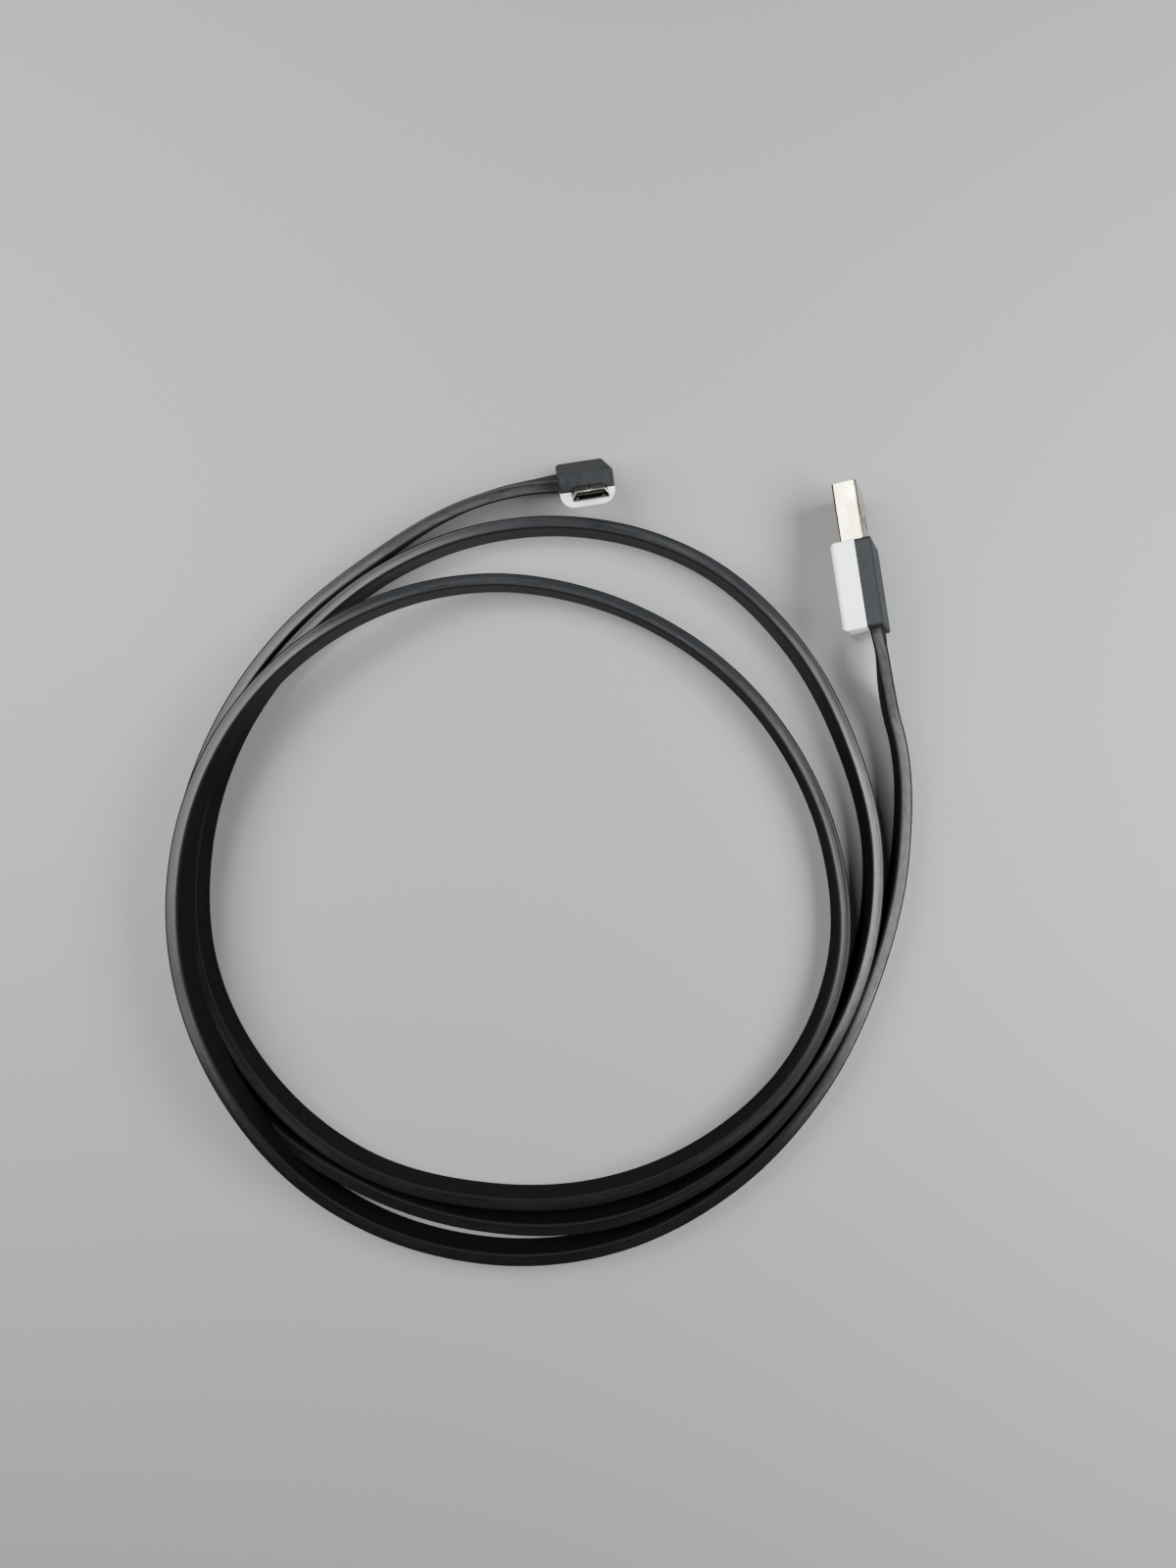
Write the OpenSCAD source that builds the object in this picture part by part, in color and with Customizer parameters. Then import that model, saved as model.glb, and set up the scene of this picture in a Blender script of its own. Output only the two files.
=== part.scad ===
// Flat charging cable with a straight USB-A plug and a right-angle micro-B plug, lying in three loose loops.
// Millimetres, +Z up. The cable stands on its narrow edge on the plane z = 0, with the loops about the Z axis.

/* [Cable] */
// Width of the flat cable, upright as it lies
cable_w = 8; // [7.6:0.1:8]
// Thickness of the flat cable
cable_t = 2; // [1.8:0.05:2.05]
// Bevel along the four long edges of the jacket
cable_bevel = 0.45; // [0.3:0.05:0.6]
// Distance between neighbouring wires inside the jacket
wire_pitch = 1.5; // [1.2:0.05:1.7]
// Insulated diameter of each wire in the USB-A plug
wire_d = 0.8; // [0.6:0.05:0.9]
// Insulated diameter of each wire in the micro-B plug
micro_wire_d = 0.6; // [0.45:0.05:0.65]
// Rings of the jacket in each full loop
rings_per_loop = 24; // [24:24:72]

/* [USB-A plug body] */
// Length of the body from its rear face to its front face
usb_len = 16.5; // [15.5:0.1:19]
// Height of the body across the wide side of the metal shell
usb_h = 15; // [14.5:0.1:16.5]
// Thickness of the white cover
usb_white_t = 4.4; // [4:0.1:5]
// Thickness of the dark cover
usb_dark_t = 3; // [2.9:0.1:3.6]
// Wall of both covers
usb_wall = 0.9; // [0.7:0.05:1.1]
// Rounding of the white cover's long edges and front corner
usb_white_round = 0.9; // [0.5:0.1:1.2]
// Rounding of the dark cover's long edges
usb_dark_round = 0.4; // [0.2:0.05:0.6]

/* [USB-A connector] */
// Width of the metal shell
usb_shell_w = 12; // [11.8:0.05:12.2]
// Height of the metal shell
usb_shell_t = 4.5; // [4.4:0.05:4.6]
// Sheet thickness of the metal shell
usb_sheet = 0.3; // [0.25:0.05:0.35]
// Length of the metal shell that stands out of the body
usb_shell_out = 11; // [10.5:0.1:12]
// Length of the metal shell inside the body
usb_shell_in = 9.5; // [8.5:0.1:10]
// Offset of the metal shell from the joint of the covers, towards the white cover
usb_shell_off = 0.4; // [0.2:0.05:0.6]
// Side of the square windows in the metal shell
usb_window = 2.3; // [1.8:0.1:2.5]
// Thickness of the contact tongue
usb_tongue_t = 1.85; // [1.7:0.05:1.95]
// Width of each contact
usb_contact_w = 1; // [0.8:0.05:1.1]
// Thickness of each contact
usb_contact_t = 0.25; // [0.2:0.05:0.3]

/* [Micro-B plug body] */
// Width of the body along the cable
micro_w = 10.2; // [9.8:0.1:11]
// Height of the body along the plug direction
micro_h = 13.2; // [12.8:0.1:14.5]
// Thickness of the white cover
micro_white_t = 2.9; // [2.7:0.1:3.4]
// Thickness of the dark cover
micro_dark_t = 3.5; // [3.4:0.1:4]
// Wall of both covers
micro_wall = 0.8; // [0.6:0.05:0.9]
// Rounding of the white cover's upright edges
micro_white_round = 2; // [1.2:0.1:2.2]
// Rounding of the dark cover's upright edges
micro_dark_round = 0.6; // [0.3:0.05:0.8]
// Amount by which the far side leans in towards the bottom
micro_taper = 0.9; // [0.3:0.1:1.1]

/* [Micro-B connector] */
// Width of the metal shell on its wide side
micro_shell_w = 6.85; // [6.7:0.05:6.9]
// Thickness of the metal shell
micro_shell_t = 1.8; // [1.75:0.05:1.9]
// Width of the metal shell on its narrow side
micro_shell_narrow = 5.3; // [5:0.1:5.6]
// Height of the shell's straight side below its slope
micro_shell_side = 0.7; // [0.5:0.05:0.9]
// Sheet thickness of the metal shell
micro_sheet = 0.25; // [0.2:0.05:0.3]
// Length of the metal shell that stands out of the body
micro_shell_out = 5.2; // [5:0.1:5.8]
// Length of the metal shell inside the body
micro_shell_in = 5.8; // [5.2:0.1:6.2]
// Offset of the metal shell from the body's middle, away from the cable
micro_shell_off = 0.3; // [0:0.1:0.4]
// Distance between neighbouring contacts
micro_pitch = 0.65; // [0.6:0.01:0.65]
// Travel of each latch hook when it is pressed flush
latch_travel = 0.3; // [0.2:0.02:0.34]

/* [Fits] */
// Gap round pieces that are seated in one another
fit_gap = 0.04; // [0.02:0.01:0.06]
// Thickness of the cable clamps
clamp_t = 0.2; // [0.15:0.05:0.25]

/* [Hidden] */
$fn = 48;
over = 0.5; // how far a cutting shape runs past the face it opens

// Colours of the finishes
dark_plastic = [0.16, 0.17, 0.18];
white_plastic = [0.95, 0.95, 0.94];
jacket_rubber = [0.2, 0.2, 0.21];
nickel = [0.8, 0.79, 0.75];
brass = [0.85, 0.7, 0.4];
mould_plastic = [0.75, 0.74, 0.7];
black_plastic = [0.06, 0.06, 0.06];

// Placing of the two plugs: foot of the covers' joint, heading, lean and, on one, dip of the nose
usb_foot = [64.35, 42.25];
usb_heading = 99;
usb_lean = 19.5;
usb_pitch = 2;
micro_foot = [2.5, 72.2];
micro_heading = 8.7;
micro_lean = 24;
// Height of a leaning body's joint line when its rounded white edge rests on z = 0
function rest_height(thick, r, lean) = (thick - r) * sin(lean) - r * cos(lean) + r;
usb_rest = rest_height(usb_white_t, usb_white_round, usb_lean) + usb_len * sin(usb_pitch) * cos(usb_lean);
micro_rest = rest_height(micro_white_t, 0, micro_lean);

// Where the cable enters each plug, in the plug's own axes, and how far it reaches in
usb_cable_at = [0, -1.25, usb_h / 2];
usb_cable_in = 3;
micro_cable_at = [0, 1.25, 5];
micro_cable_in = 2.2;
// Straight length of the cable next to each plug
straight_run = 5;

// Stations of the cable's middle line, one every station_step degrees clockwise from first_angle:
// distance from the loops' middle, height, lean towards it
loop_middle = [-0.55, 0.45];
first_angle = 20;
station_step = 20;
stations = [
  [72, 8.2, 17], [68.8, 6.4, 11], [67.9, 4.8, 5], [69.7, 4.2, 2], [72.9, 4, 0], [76.1, 4, 0],
  [77.1, 4.4, 0], [76.9, 6.8, 0], [72.3, 12.5, 0], [69.4, 12.5, 0], [66, 12.5, 0], [62.2, 12.5, 0],
  [58.2, 12.2, 0], [54.8, 9.8, 0], [52.1, 6.5, 0], [49.8, 4.6, 0], [49, 4, 0], [49.8, 4, 0],
  [52.1, 4, 0], [56, 4, 0], [60.8, 4, 0], [64, 4, 0], [65.4, 4, 0], [66.4, 4, 0],
  [66.7, 4, 0], [68.5, 4, 0], [68.7, 4, 0], [68.3, 4, 0], [66, 4, 0], [63.2, 4, 0],
  [61.3, 4, 0], [61.4, 4, 0], [62.2, 4, 0], [63, 4, 0], [63.4, 4, 0], [62.7, 4, 0],
  [62.4, 4, 0], [63.8, 4, 0], [65, 4, 0], [66.9, 4, 0], [69.5, 4, 0], [71.3, 4, 0],
  [71.2, 4, 0], [71.1, 4, 0], [71.2, 4, 0], [70.8, 4, 0], [68.5, 4, 0], [65.7, 4, 0],
  [64, 4, 0], [64.5, 4.6, 9], [68.2, 5.7, 17], [71.5, 6.4, 24]
];

// Rotations that take a vector from a plug's own axes to the part's axes
function turn_z(v, a) = [v.x * cos(a) - v.y * sin(a), v.x * sin(a) + v.y * cos(a), v.z];
function turn_x(v, a) = [v.x, v.y * cos(a) - v.z * sin(a), v.y * sin(a) + v.z * cos(a)];
function turn_y(v, a) = [v.x * cos(a) + v.z * sin(a), v.y, v.z * cos(a) - v.x * sin(a)];
function usb_dir(v) = turn_z(turn_x(turn_y(v, usb_pitch), -usb_lean), usb_heading);
function micro_dir(v) = turn_z(turn_x(v, micro_lean), micro_heading);
function usb_point(v) = usb_dir(v) + [usb_foot.x, usb_foot.y, usb_rest];
function micro_point(v) = micro_dir(v) + [micro_foot.x, micro_foot.y, micro_rest];

// Smooth curve through the stations: t counts stations
function station(i) = stations[max(0, min(len(stations) - 1, i))];
function blend(a, b, c, d, f) =
  0.5 * (2 * b + (c - a) * f + (2 * a - 5 * b + 4 * c - d) * f * f + (3 * b - a - 3 * c + d) * f * f * f);
function smooth_station(t) =
  let (i = floor(t), f = t - i) blend(station(i - 1), station(i), station(i + 1), station(i + 2), f);
function loop_point(t) =
  let (s = smooth_station(t), a = first_angle - station_step * t)
  [loop_middle.x + s[0] * cos(a), loop_middle.y + s[0] * sin(a), max(cable_w / 2, s[1])];

// Ring centres and leans: two straight ends, and the loops between them
last_station = len(stations) - 2;
stations_per_ring = 360 / station_step / rings_per_loop;
loop_rings = floor(last_station / stations_per_ring);
ring_centres = concat(
  [usb_point(usb_cable_at + [usb_cable_in, 0, 0]), usb_point(usb_cable_at), usb_point(usb_cable_at - [straight_run, 0, 0])],
  [for (i = [0:loop_rings]) loop_point(i * stations_per_ring)],
  [micro_point(micro_cable_at - [straight_run, 0, 0]), micro_point(micro_cable_at),
   micro_point(micro_cable_at + [micro_cable_in, 0, 0])]
);
ring_leans = concat(
  [usb_lean, usb_lean, usb_lean],
  [for (i = [0:loop_rings]) smooth_station(i * stations_per_ring)[2]],
  [micro_lean, micro_lean, micro_lean]
);
ring_count = len(ring_centres);
function unit(v) = v / norm(v);
function ring_heading(i) =
  i < 3 ? -usb_dir([1, 0, 0])
  : i > ring_count - 4 ? micro_dir([1, 0, 0])
  : unit(ring_centres[i + 1] - ring_centres[i - 1]);

// Section of the jacket: across, upright; anticlockwise
function bevelled_section(t, w, b) = [
  [t / 2 - b, -w / 2], [t / 2, -w / 2 + b], [t / 2, w / 2 - b], [t / 2 - b, w / 2],
  [b - t / 2, w / 2], [-t / 2, w / 2 - b], [-t / 2, b - w / 2], [b - t / 2, -w / 2]
];
jacket_section = bevelled_section(cable_t, cable_w, cable_bevel);
// Places a point of the section at ring i: inward is the side of the loops' middle
function at_ring(i, p) =
  let (
    along = ring_heading(i),
    inward = unit(cross(along, [0, 0, 1])),
    up = cross(inward, along),
    a = ring_leans[i]
  )
  ring_centres[i] + inward * (p.y * sin(a) - p.x * cos(a)) + up * (p.y * cos(a) + p.x * sin(a));

jacket_sides = len(jacket_section);
jacket_points = [for (i = [0:ring_count - 1]) for (p = jacket_section) at_ring(i, p)];
jacket_faces = tube_faces(ring_count, jacket_sides);

// Triangles of a tube of rings, each with the same count of sides, closed at both ends
function tube_faces(rings, sides) = concat(
  [for (i = [0:rings - 2]) for (k = [0:sides - 1])
    let (a = i * sides + k, b = i * sides + (k + 1) % sides) [a, b + sides, b]],
  [for (i = [0:rings - 2]) for (k = [0:sides - 1])
    let (a = i * sides + k, b = i * sides + (k + 1) % sides) [a, a + sides, b + sides]],
  [for (k = [1:sides - 2]) [0, k, k + 1]],
  [for (k = [1:sides - 2]) let (first = (rings - 1) * sides) [first, first + k + 1, first + k]]
);

// Least gap of the jacket to its own neighbouring loops, from points round each ring
outline_steps = 6;
function outline_points(i) = [
  for (k = [0:jacket_sides - 1]) for (s = [0:outline_steps - 1])
    let (a = jacket_section[k], b = jacket_section[(k + 1) % jacket_sides])
    at_ring(i, a + (b - a) * s / outline_steps)
];
function ring_gap(i, j) =
  let (q = outline_points(j)) min([for (p = outline_points(i)) min([for (r = q) norm(p - r)])]);
first_loop_ring = 3;
self_gap = min([
  for (i = [first_loop_ring:ring_count - 1 - rings_per_loop])
    min(
      ring_gap(i, i + rings_per_loop),
      i + 2 * rings_per_loop < ring_count ? ring_gap(i, i + 2 * rings_per_loop) : cable_w
    )
]);
cable_length = norm(ring_centres[1] - ring_centres[2])
  + sum_lengths([for (i = [3:ring_count - 2]) norm(ring_centres[i] - ring_centres[i - 1])]);
function sum_lengths(v, i = 0) = i < len(v) ? v[i] + sum_lengths(v, i + 1) : 0;
echo(least_gap_of_the_jacket_to_itself = self_gap);
echo(cable_length_between_plugs = cable_length);

// Moves each edge of an anticlockwise convex outline inwards by d
function edge_normal(a, b) = let (u = unit(b - a)) [-u.y, u.x];
function inset(p, d) = [
  for (i = [0:len(p) - 1])
    let (
      b = p[i],
      m = edge_normal(p[(i + len(p) - 1) % len(p)], b),
      n = edge_normal(b, p[(i + 1) % len(p)])
    )
    b + (m + n) * d / (1 + m * n)
];

// Places children, drawn in the plug's own axes, where the plug lies
module at_usb_a() {
  translate([usb_foot.x, usb_foot.y, usb_rest])
    rotate([0, 0, usb_heading]) rotate([-usb_lean, 0, 0]) rotate([0, usb_pitch, 0])
      children();
}
module at_micro() {
  translate([micro_foot.x, micro_foot.y, micro_rest])
    rotate([0, 0, micro_heading]) rotate([micro_lean, 0, 0])
      children();
}

// Box between two corners
module block(low, high) {
  translate(low) cube(high - low);
}
// Extrudes an outline, drawn in (y, z), along x from x0 to x1
module along_x(x0, x1) {
  translate([x0, 0, 0]) rotate([90, 0, 90]) linear_extrude(x1 - x0) children();
}
// Extrudes an outline, drawn in (x, z), along y from y0 to y1
module along_y(y0, y1) {
  translate([0, y1, 0]) rotate([90, 0, 0]) linear_extrude(y1 - y0) children();
}
// What rounding a corner at the origin, with its sides along +x and +y, takes away
module corner_waste(r) {
  difference() {
    translate([-over, -over]) square(r + over);
    translate([r, r]) circle(r);
  }
}
// Rectangle from low to high, with a rounding for the sides at low x and at high x
module rounded_plate(low, high, r_low, r_high) {
  difference() {
    translate(low) square(high - low);
    translate(low) corner_waste(r_low);
    translate([low.x, high.y]) mirror([0, 1]) corner_waste(r_low);
    translate([high.x, low.y]) mirror([1, 0]) corner_waste(r_high);
    translate(high) mirror([1, 0]) mirror([0, 1]) corner_waste(r_high);
  }
}

// Insulated wire of diameter d along the smooth curve of four control points p, then straight to its end
function curve(p, t) =
  let (u = 1 - t) p[0] * u * u * u + p[1] * 3 * u * u * t + p[2] * 3 * u * t * t + p[3] * t * t * t;
function wire_line(p, end) = concat([for (i = [0:wire_bends]) curve(p, i / wire_bends)], [end]);
function wire_ring(c, along, d) =
  let (u = unit(cross(along, wire_hint)), v = cross(along, u))
  [for (k = [0:wire_sides - 1]) let (a = 360 * k / wire_sides) c + (u * cos(a) + v * sin(a)) * d / 2];
wire_bends = 8;
wire_sides = 8;
wire_hint = [1, 1, -1]; // a direction that no wire runs along
module wire(p, end, d) {
  line = wire_line(p, end);
  last = len(line) - 1;
  headings = [for (i = [0:last])
    i == 0 ? unit(p[1] - p[0]) : i == last ? unit(end - p[3]) : unit(line[i + 1] - line[i - 1])];
  points = [for (i = [0:last]) for (q = wire_ring(line[i], headings[i], d)) q];
  polyhedron(points, tube_faces(last + 1, wire_sides));
}

// ---- cable ----
module cable_jacket() {
  color(jacket_rubber) polyhedron(jacket_points, jacket_faces, convexity = 10);
}

// Outline of the jacket in a plug's (y, z), grown by gap
module jacket_outline(at, gap) {
  translate([at.y, at.z]) polygon(inset(jacket_section, -gap));
}

// ---- USB-A plug: x forward, y towards the white cover, z across the metal shell's wide side ----
usb_mid_z = usb_h / 2;
usb_shell_back = usb_len - usb_shell_in;
usb_shell_front = usb_len + usb_shell_out;
usb_clamp_x = [usb_wall + fit_gap, usb_cable_in - 0.3];
usb_mould_low = [usb_wall, -usb_dark_t + usb_wall, usb_wall];
usb_mould_high = [usb_len - usb_wall, usb_white_t - usb_wall, usb_h - usb_wall];
usb_shell_round = 0.5;
usb_window_back = 6.4; // from the shell's mouth to the middle of the windows
usb_window_z = 2.7;
usb_seam = 0.12;
// Inside of the metal shell on the tongue's side, and the contacts' faces
usb_inner_low = usb_shell_off - usb_shell_t / 2 + usb_sheet;
usb_tongue_top = usb_inner_low + fit_gap + usb_tongue_t;
usb_contact_sunk = 0.15;
usb_contact_y = usb_tongue_top - usb_contact_sunk;
usb_block_back = usb_shell_back + 1;
usb_block_front = usb_len - 1;
usb_tongue_end = usb_shell_front - 0.6;
usb_power_end = usb_tongue_end - 0.8;
usb_data_end = usb_power_end - 1;
usb_tail_back = usb_shell_back - 1.4;
usb_power_z = 3.5;
usb_data_z = 1;

module usb_shell_outline(shrink) {
  low = [usb_shell_off - usb_shell_t / 2 + shrink, usb_mid_z - usb_shell_w / 2 + shrink];
  high = [usb_shell_off + usb_shell_t / 2 - shrink, usb_mid_z + usb_shell_w / 2 - shrink];
  corner = max(usb_shell_round - shrink, 0.1);
  rounded_plate(low, high, corner, corner);
}

// Outer form of both covers together
module usb_body_form() {
  intersection() {
    along_x(0, usb_len)
      rounded_plate([-usb_dark_t, 0], [usb_white_t, usb_h], usb_dark_round, usb_white_round);
    linear_extrude(usb_h)
      difference() {
        translate([0, -usb_dark_t]) square([usb_len, usb_dark_t + usb_white_t]);
        translate([usb_len, usb_white_t]) mirror([1, 0]) mirror([0, 1]) corner_waste(usb_white_round);
        translate([0, usb_white_t]) mirror([0, 1]) corner_waste(usb_dark_round);
        translate([usb_len, -usb_dark_t]) mirror([1, 0]) corner_waste(usb_dark_round);
        translate([0, -usb_dark_t]) corner_waste(usb_dark_round);
      }
  }
}

// Everything that is hollow inside the covers
module usb_body_hollow() {
  block(usb_mould_low, usb_mould_high);
  along_x(usb_shell_back - fit_gap, usb_len + over) usb_shell_outline(-fit_gap);
  along_x(-over, usb_cable_in) jacket_outline(usb_cable_at, fit_gap);
  along_x(usb_clamp_x[0], usb_clamp_x[1]) jacket_outline(usb_cable_at, clamp_t + 2 * fit_gap);
}

module usb_a_dark_cover() {
  color(dark_plastic) at_usb_a() difference() {
    usb_body_form();
    block([-over, 0, -over], [usb_len + over, usb_white_t + over, usb_h + over]);
    usb_body_hollow();
  }
}

module usb_a_white_cover() {
  color(white_plastic) at_usb_a() difference() {
    usb_body_form();
    block([-over, -usb_dark_t - over, -over], [usb_len + over, 0, usb_h + over]);
    usb_body_hollow();
  }
}

module usb_a_shell() {
  color(nickel) at_usb_a() difference() {
    along_x(usb_shell_back, usb_shell_front) usb_shell_outline(0);
    along_x(usb_shell_back - over, usb_shell_front + over) usb_shell_outline(usb_sheet);
    for (side = [-1, 1])
      translate([usb_shell_front - usb_window_back, usb_shell_off, usb_mid_z + side * usb_window_z])
        cube([usb_window, usb_shell_t + over, usb_window], center = true);
    // open seam where the folded sheet meets
    block(
      [usb_shell_back - over, usb_shell_off - usb_shell_t / 2 - over, usb_mid_z - usb_seam / 2],
      [usb_shell_front + over, usb_inner_low + over, usb_mid_z + usb_seam / 2]
    );
  }
}

// One contact strip from its solder tail to x_end; gap grows it into its groove
module usb_contact(z, x_end, gap) {
  block(
    [usb_tail_back - gap, usb_contact_y - gap, usb_mid_z + z - usb_contact_w / 2 - gap],
    [x_end + gap, usb_contact_y + usb_contact_t + gap, usb_mid_z + z + usb_contact_w / 2 + gap]
  );
}

module usb_a_tongue() {
  color(black_plastic) at_usb_a() difference() {
    union() {
      along_x(usb_block_back, usb_block_front) usb_shell_outline(usb_sheet + fit_gap);
      intersection() {
        along_x(usb_block_back, usb_tongue_end) usb_shell_outline(usb_sheet + fit_gap);
        block(
          [usb_block_back, usb_inner_low, 0],
          [usb_tongue_end, usb_tongue_top, usb_h]
        );
      }
    }
    for (side = [-1, 1]) {
      usb_contact(side * usb_power_z, usb_power_end, fit_gap / 2);
      usb_contact(side * usb_data_z, usb_data_end, fit_gap / 2);
    }
  }
}

module usb_a_power_contacts() {
  color(brass) at_usb_a() for (side = [-1, 1]) usb_contact(side * usb_power_z, usb_power_end, 0);
}

module usb_a_data_contacts() {
  color(brass) at_usb_a() for (side = [-1, 1]) usb_contact(side * usb_data_z, usb_data_end, 0);
}

// Wires of the USB-A plug: slot counts the wires across the jacket from the bottom
usb_pins = [-usb_power_z, -usb_data_z, usb_data_z, usb_power_z];
function usb_wire_curve(slot) =
  let (
    from = usb_cable_at + [usb_cable_in, 0, (slot - 1.5) * wire_pitch],
    rest_y = usb_contact_y + usb_contact_t + wire_d / 2 + fit_gap / 2,
    to = [usb_tail_back, rest_y, usb_mid_z + usb_pins[slot]],
    reach = [(to.x - from.x) / 2, 0, 0]
  )
  [from, from + reach, to - reach, to];

module usb_wire(slot, tint) {
  line = usb_wire_curve(slot);
  color(tint) at_usb_a() wire(line, [usb_shell_back - fit_gap, line[3].y, line[3].z], wire_d);
}
module usb_a_red_wire() {
  usb_wire(0, "red");
}
module usb_a_white_wire() {
  usb_wire(1, "white");
}
module usb_a_green_wire() {
  usb_wire(2, "green");
}
module usb_a_black_wire() {
  usb_wire(3, [0.1, 0.1, 0.1]);
}

module usb_a_cable_clamp() {
  color(nickel) at_usb_a() difference() {
    along_x(usb_clamp_x[0] + fit_gap, usb_clamp_x[1] - fit_gap) jacket_outline(usb_cable_at, clamp_t + fit_gap);
    along_x(0, usb_cable_in) jacket_outline(usb_cable_at, fit_gap);
  }
}

module usb_a_inner_mould() {
  gap = [fit_gap, fit_gap, fit_gap];
  color(mould_plastic) at_usb_a() difference() {
    block(usb_mould_low + gap, usb_mould_high - gap);
    along_x(usb_shell_back - fit_gap, usb_len) usb_shell_outline(-fit_gap);
    along_x(0, usb_cable_in) jacket_outline(usb_cable_at, fit_gap);
    along_x(usb_clamp_x[0], usb_clamp_x[1]) jacket_outline(usb_cable_at, clamp_t + 2 * fit_gap);
    // room for the wires and the solder tails
    block(
      [usb_cable_in, usb_cable_at.y - wire_d / 2 - fit_gap, usb_mid_z - usb_power_z - wire_d],
      [usb_shell_back, usb_mould_high.y - usb_wall, usb_mid_z + usb_power_z + wire_d]
    );
  }
}

// ---- micro-B plug: x along the cable, y towards the dark cover, z along the plug direction ----
micro_mid_x = micro_w / 2 + micro_shell_off;
micro_shell_back = micro_h - micro_shell_in;
micro_shell_front = micro_h + micro_shell_out;
micro_clamp_x = [micro_wall + fit_gap, micro_cable_in - 0.3];
micro_mould_low = [micro_wall, -micro_white_t + micro_wall, micro_wall];
micro_mould_high = [micro_w - micro_wall - micro_taper, micro_dark_t - micro_wall, micro_h - micro_wall];
micro_block_back = micro_shell_back + 0.3;
micro_block_front = micro_h - 0.8;
micro_tongue_end = micro_shell_front - 0.6;
micro_contact_w = 0.32;
micro_contact_t = 0.14;
micro_contact_y = -0.08;
micro_contact_end = micro_tongue_end - 0.4;
micro_tail_back = micro_shell_back - 1.2;
// Height of the room that the wires need in the mould, and the height at which they cross under the shell
micro_wire_top = max(micro_shell_back, micro_cable_at.z + 1.5 * wire_pitch);
micro_wire_cross = micro_shell_back - 0.15;

// D-shaped outline of the metal shell, wide side towards the white cover, anticlockwise
micro_outline = [
  [-micro_shell_w / 2, -micro_shell_t / 2], [micro_shell_w / 2, -micro_shell_t / 2],
  [micro_shell_w / 2, -micro_shell_t / 2 + micro_shell_side], [micro_shell_narrow / 2, micro_shell_t / 2],
  [-micro_shell_narrow / 2, micro_shell_t / 2], [-micro_shell_w / 2, -micro_shell_t / 2 + micro_shell_side]
];
module micro_shell_solid(z0, z1, shrink) {
  translate([micro_mid_x, 0, z0]) linear_extrude(z1 - z0) polygon(inset(micro_outline, shrink));
}

module micro_body_form() {
  intersection() {
    linear_extrude(micro_h)
      rotate(90)
        rounded_plate([-micro_white_t, -micro_w], [micro_dark_t, 0], micro_white_round, micro_dark_round);
    along_y(-micro_white_t, micro_dark_t)
      polygon([[0, 0], [micro_w - micro_taper, 0], [micro_w, micro_h], [0, micro_h]]);
  }
}

module micro_body_hollow() {
  block(micro_mould_low, micro_mould_high);
  micro_shell_solid(micro_shell_back - fit_gap, micro_h + over, -fit_gap);
  along_x(-over, micro_cable_in) jacket_outline(micro_cable_at, fit_gap);
  along_x(micro_clamp_x[0], micro_clamp_x[1]) jacket_outline(micro_cable_at, clamp_t + 2 * fit_gap);
}

module micro_dark_cover() {
  color(dark_plastic) at_micro() difference() {
    micro_body_form();
    block([-over, -micro_white_t - over, -over], [micro_w + over, 0, micro_h + over]);
    micro_body_hollow();
  }
}

module micro_white_cover() {
  color(white_plastic) at_micro() difference() {
    micro_body_form();
    block([-over, 0, -over], [micro_w + over, micro_dark_t + over, micro_h + over]);
    micro_body_hollow();
  }
}

// Latches: spring arms along the wide side with a hook that stands out through a slot of the shell
latch_x = 2.45;
latch_w = 0.5;
latch_arm_t = 0.16;
latch_y = -micro_shell_t / 2 + micro_sheet + fit_gap;
latch_root_z = micro_block_back + 0.5;
latch_hook_z = micro_shell_front - 2.6;
latch_hook_len = 1;
latch_end_z = latch_hook_z + latch_hook_len + 0.2;
latch_proud = 0.28;
latch_room = 0.08;

module micro_shell() {
  color(nickel) at_micro() difference() {
    micro_shell_solid(micro_shell_back, micro_shell_front, 0);
    micro_shell_solid(micro_shell_back - over, micro_shell_front + over, micro_sheet);
    for (side = [-1, 1])
      block(
        [micro_mid_x + side * latch_x - latch_w / 2 - latch_room, -micro_shell_t / 2 - over, latch_hook_z - 0.2],
        [micro_mid_x + side * latch_x + latch_w / 2 + latch_room, latch_y, latch_hook_z + latch_hook_len + 0.2]
      );
    // open seam where the folded sheet meets, on the narrow side
    block(
      [micro_mid_x - 0.05, micro_shell_t / 2 - micro_sheet - 0.1, micro_shell_back - over],
      [micro_mid_x + 0.05, micro_shell_t / 2 + over, micro_shell_front + over]
    );
  }
}

// Space that one latch arm sweeps, cut out of the insulator
module latch_space(side) {
  block(
    [micro_mid_x + side * latch_x - latch_w / 2 - latch_room, -micro_shell_t, latch_root_z - latch_room],
    [micro_mid_x + side * latch_x + latch_w / 2 + latch_room, latch_y + latch_arm_t + latch_travel + latch_room,
     micro_shell_front]
  );
}

module micro_contact(k, gap) {
  block(
    [micro_mid_x + k * micro_pitch - micro_contact_w / 2 - gap, micro_contact_y - gap, micro_tail_back - gap],
    [micro_mid_x + k * micro_pitch + micro_contact_w / 2 + gap, micro_contact_y + micro_contact_t + gap,
     micro_contact_end + gap]
  );
}

module micro_insulator() {
  color(black_plastic) at_micro() difference() {
    union() {
      micro_shell_solid(micro_block_back, micro_block_front, micro_sheet + fit_gap);
      intersection() {
        micro_shell_solid(micro_block_back, micro_tongue_end, micro_sheet + fit_gap);
        block([0, 0, 0], [micro_w, micro_shell_t, micro_shell_front]);
      }
    }
    for (side = [-1, 1]) latch_space(side);
    for (k = [-2:2]) micro_contact(k, fit_gap / 2);
  }
}

module micro_contacts() {
  color(brass) at_micro() for (k = [-2:2]) micro_contact(k, 0);
}

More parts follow.
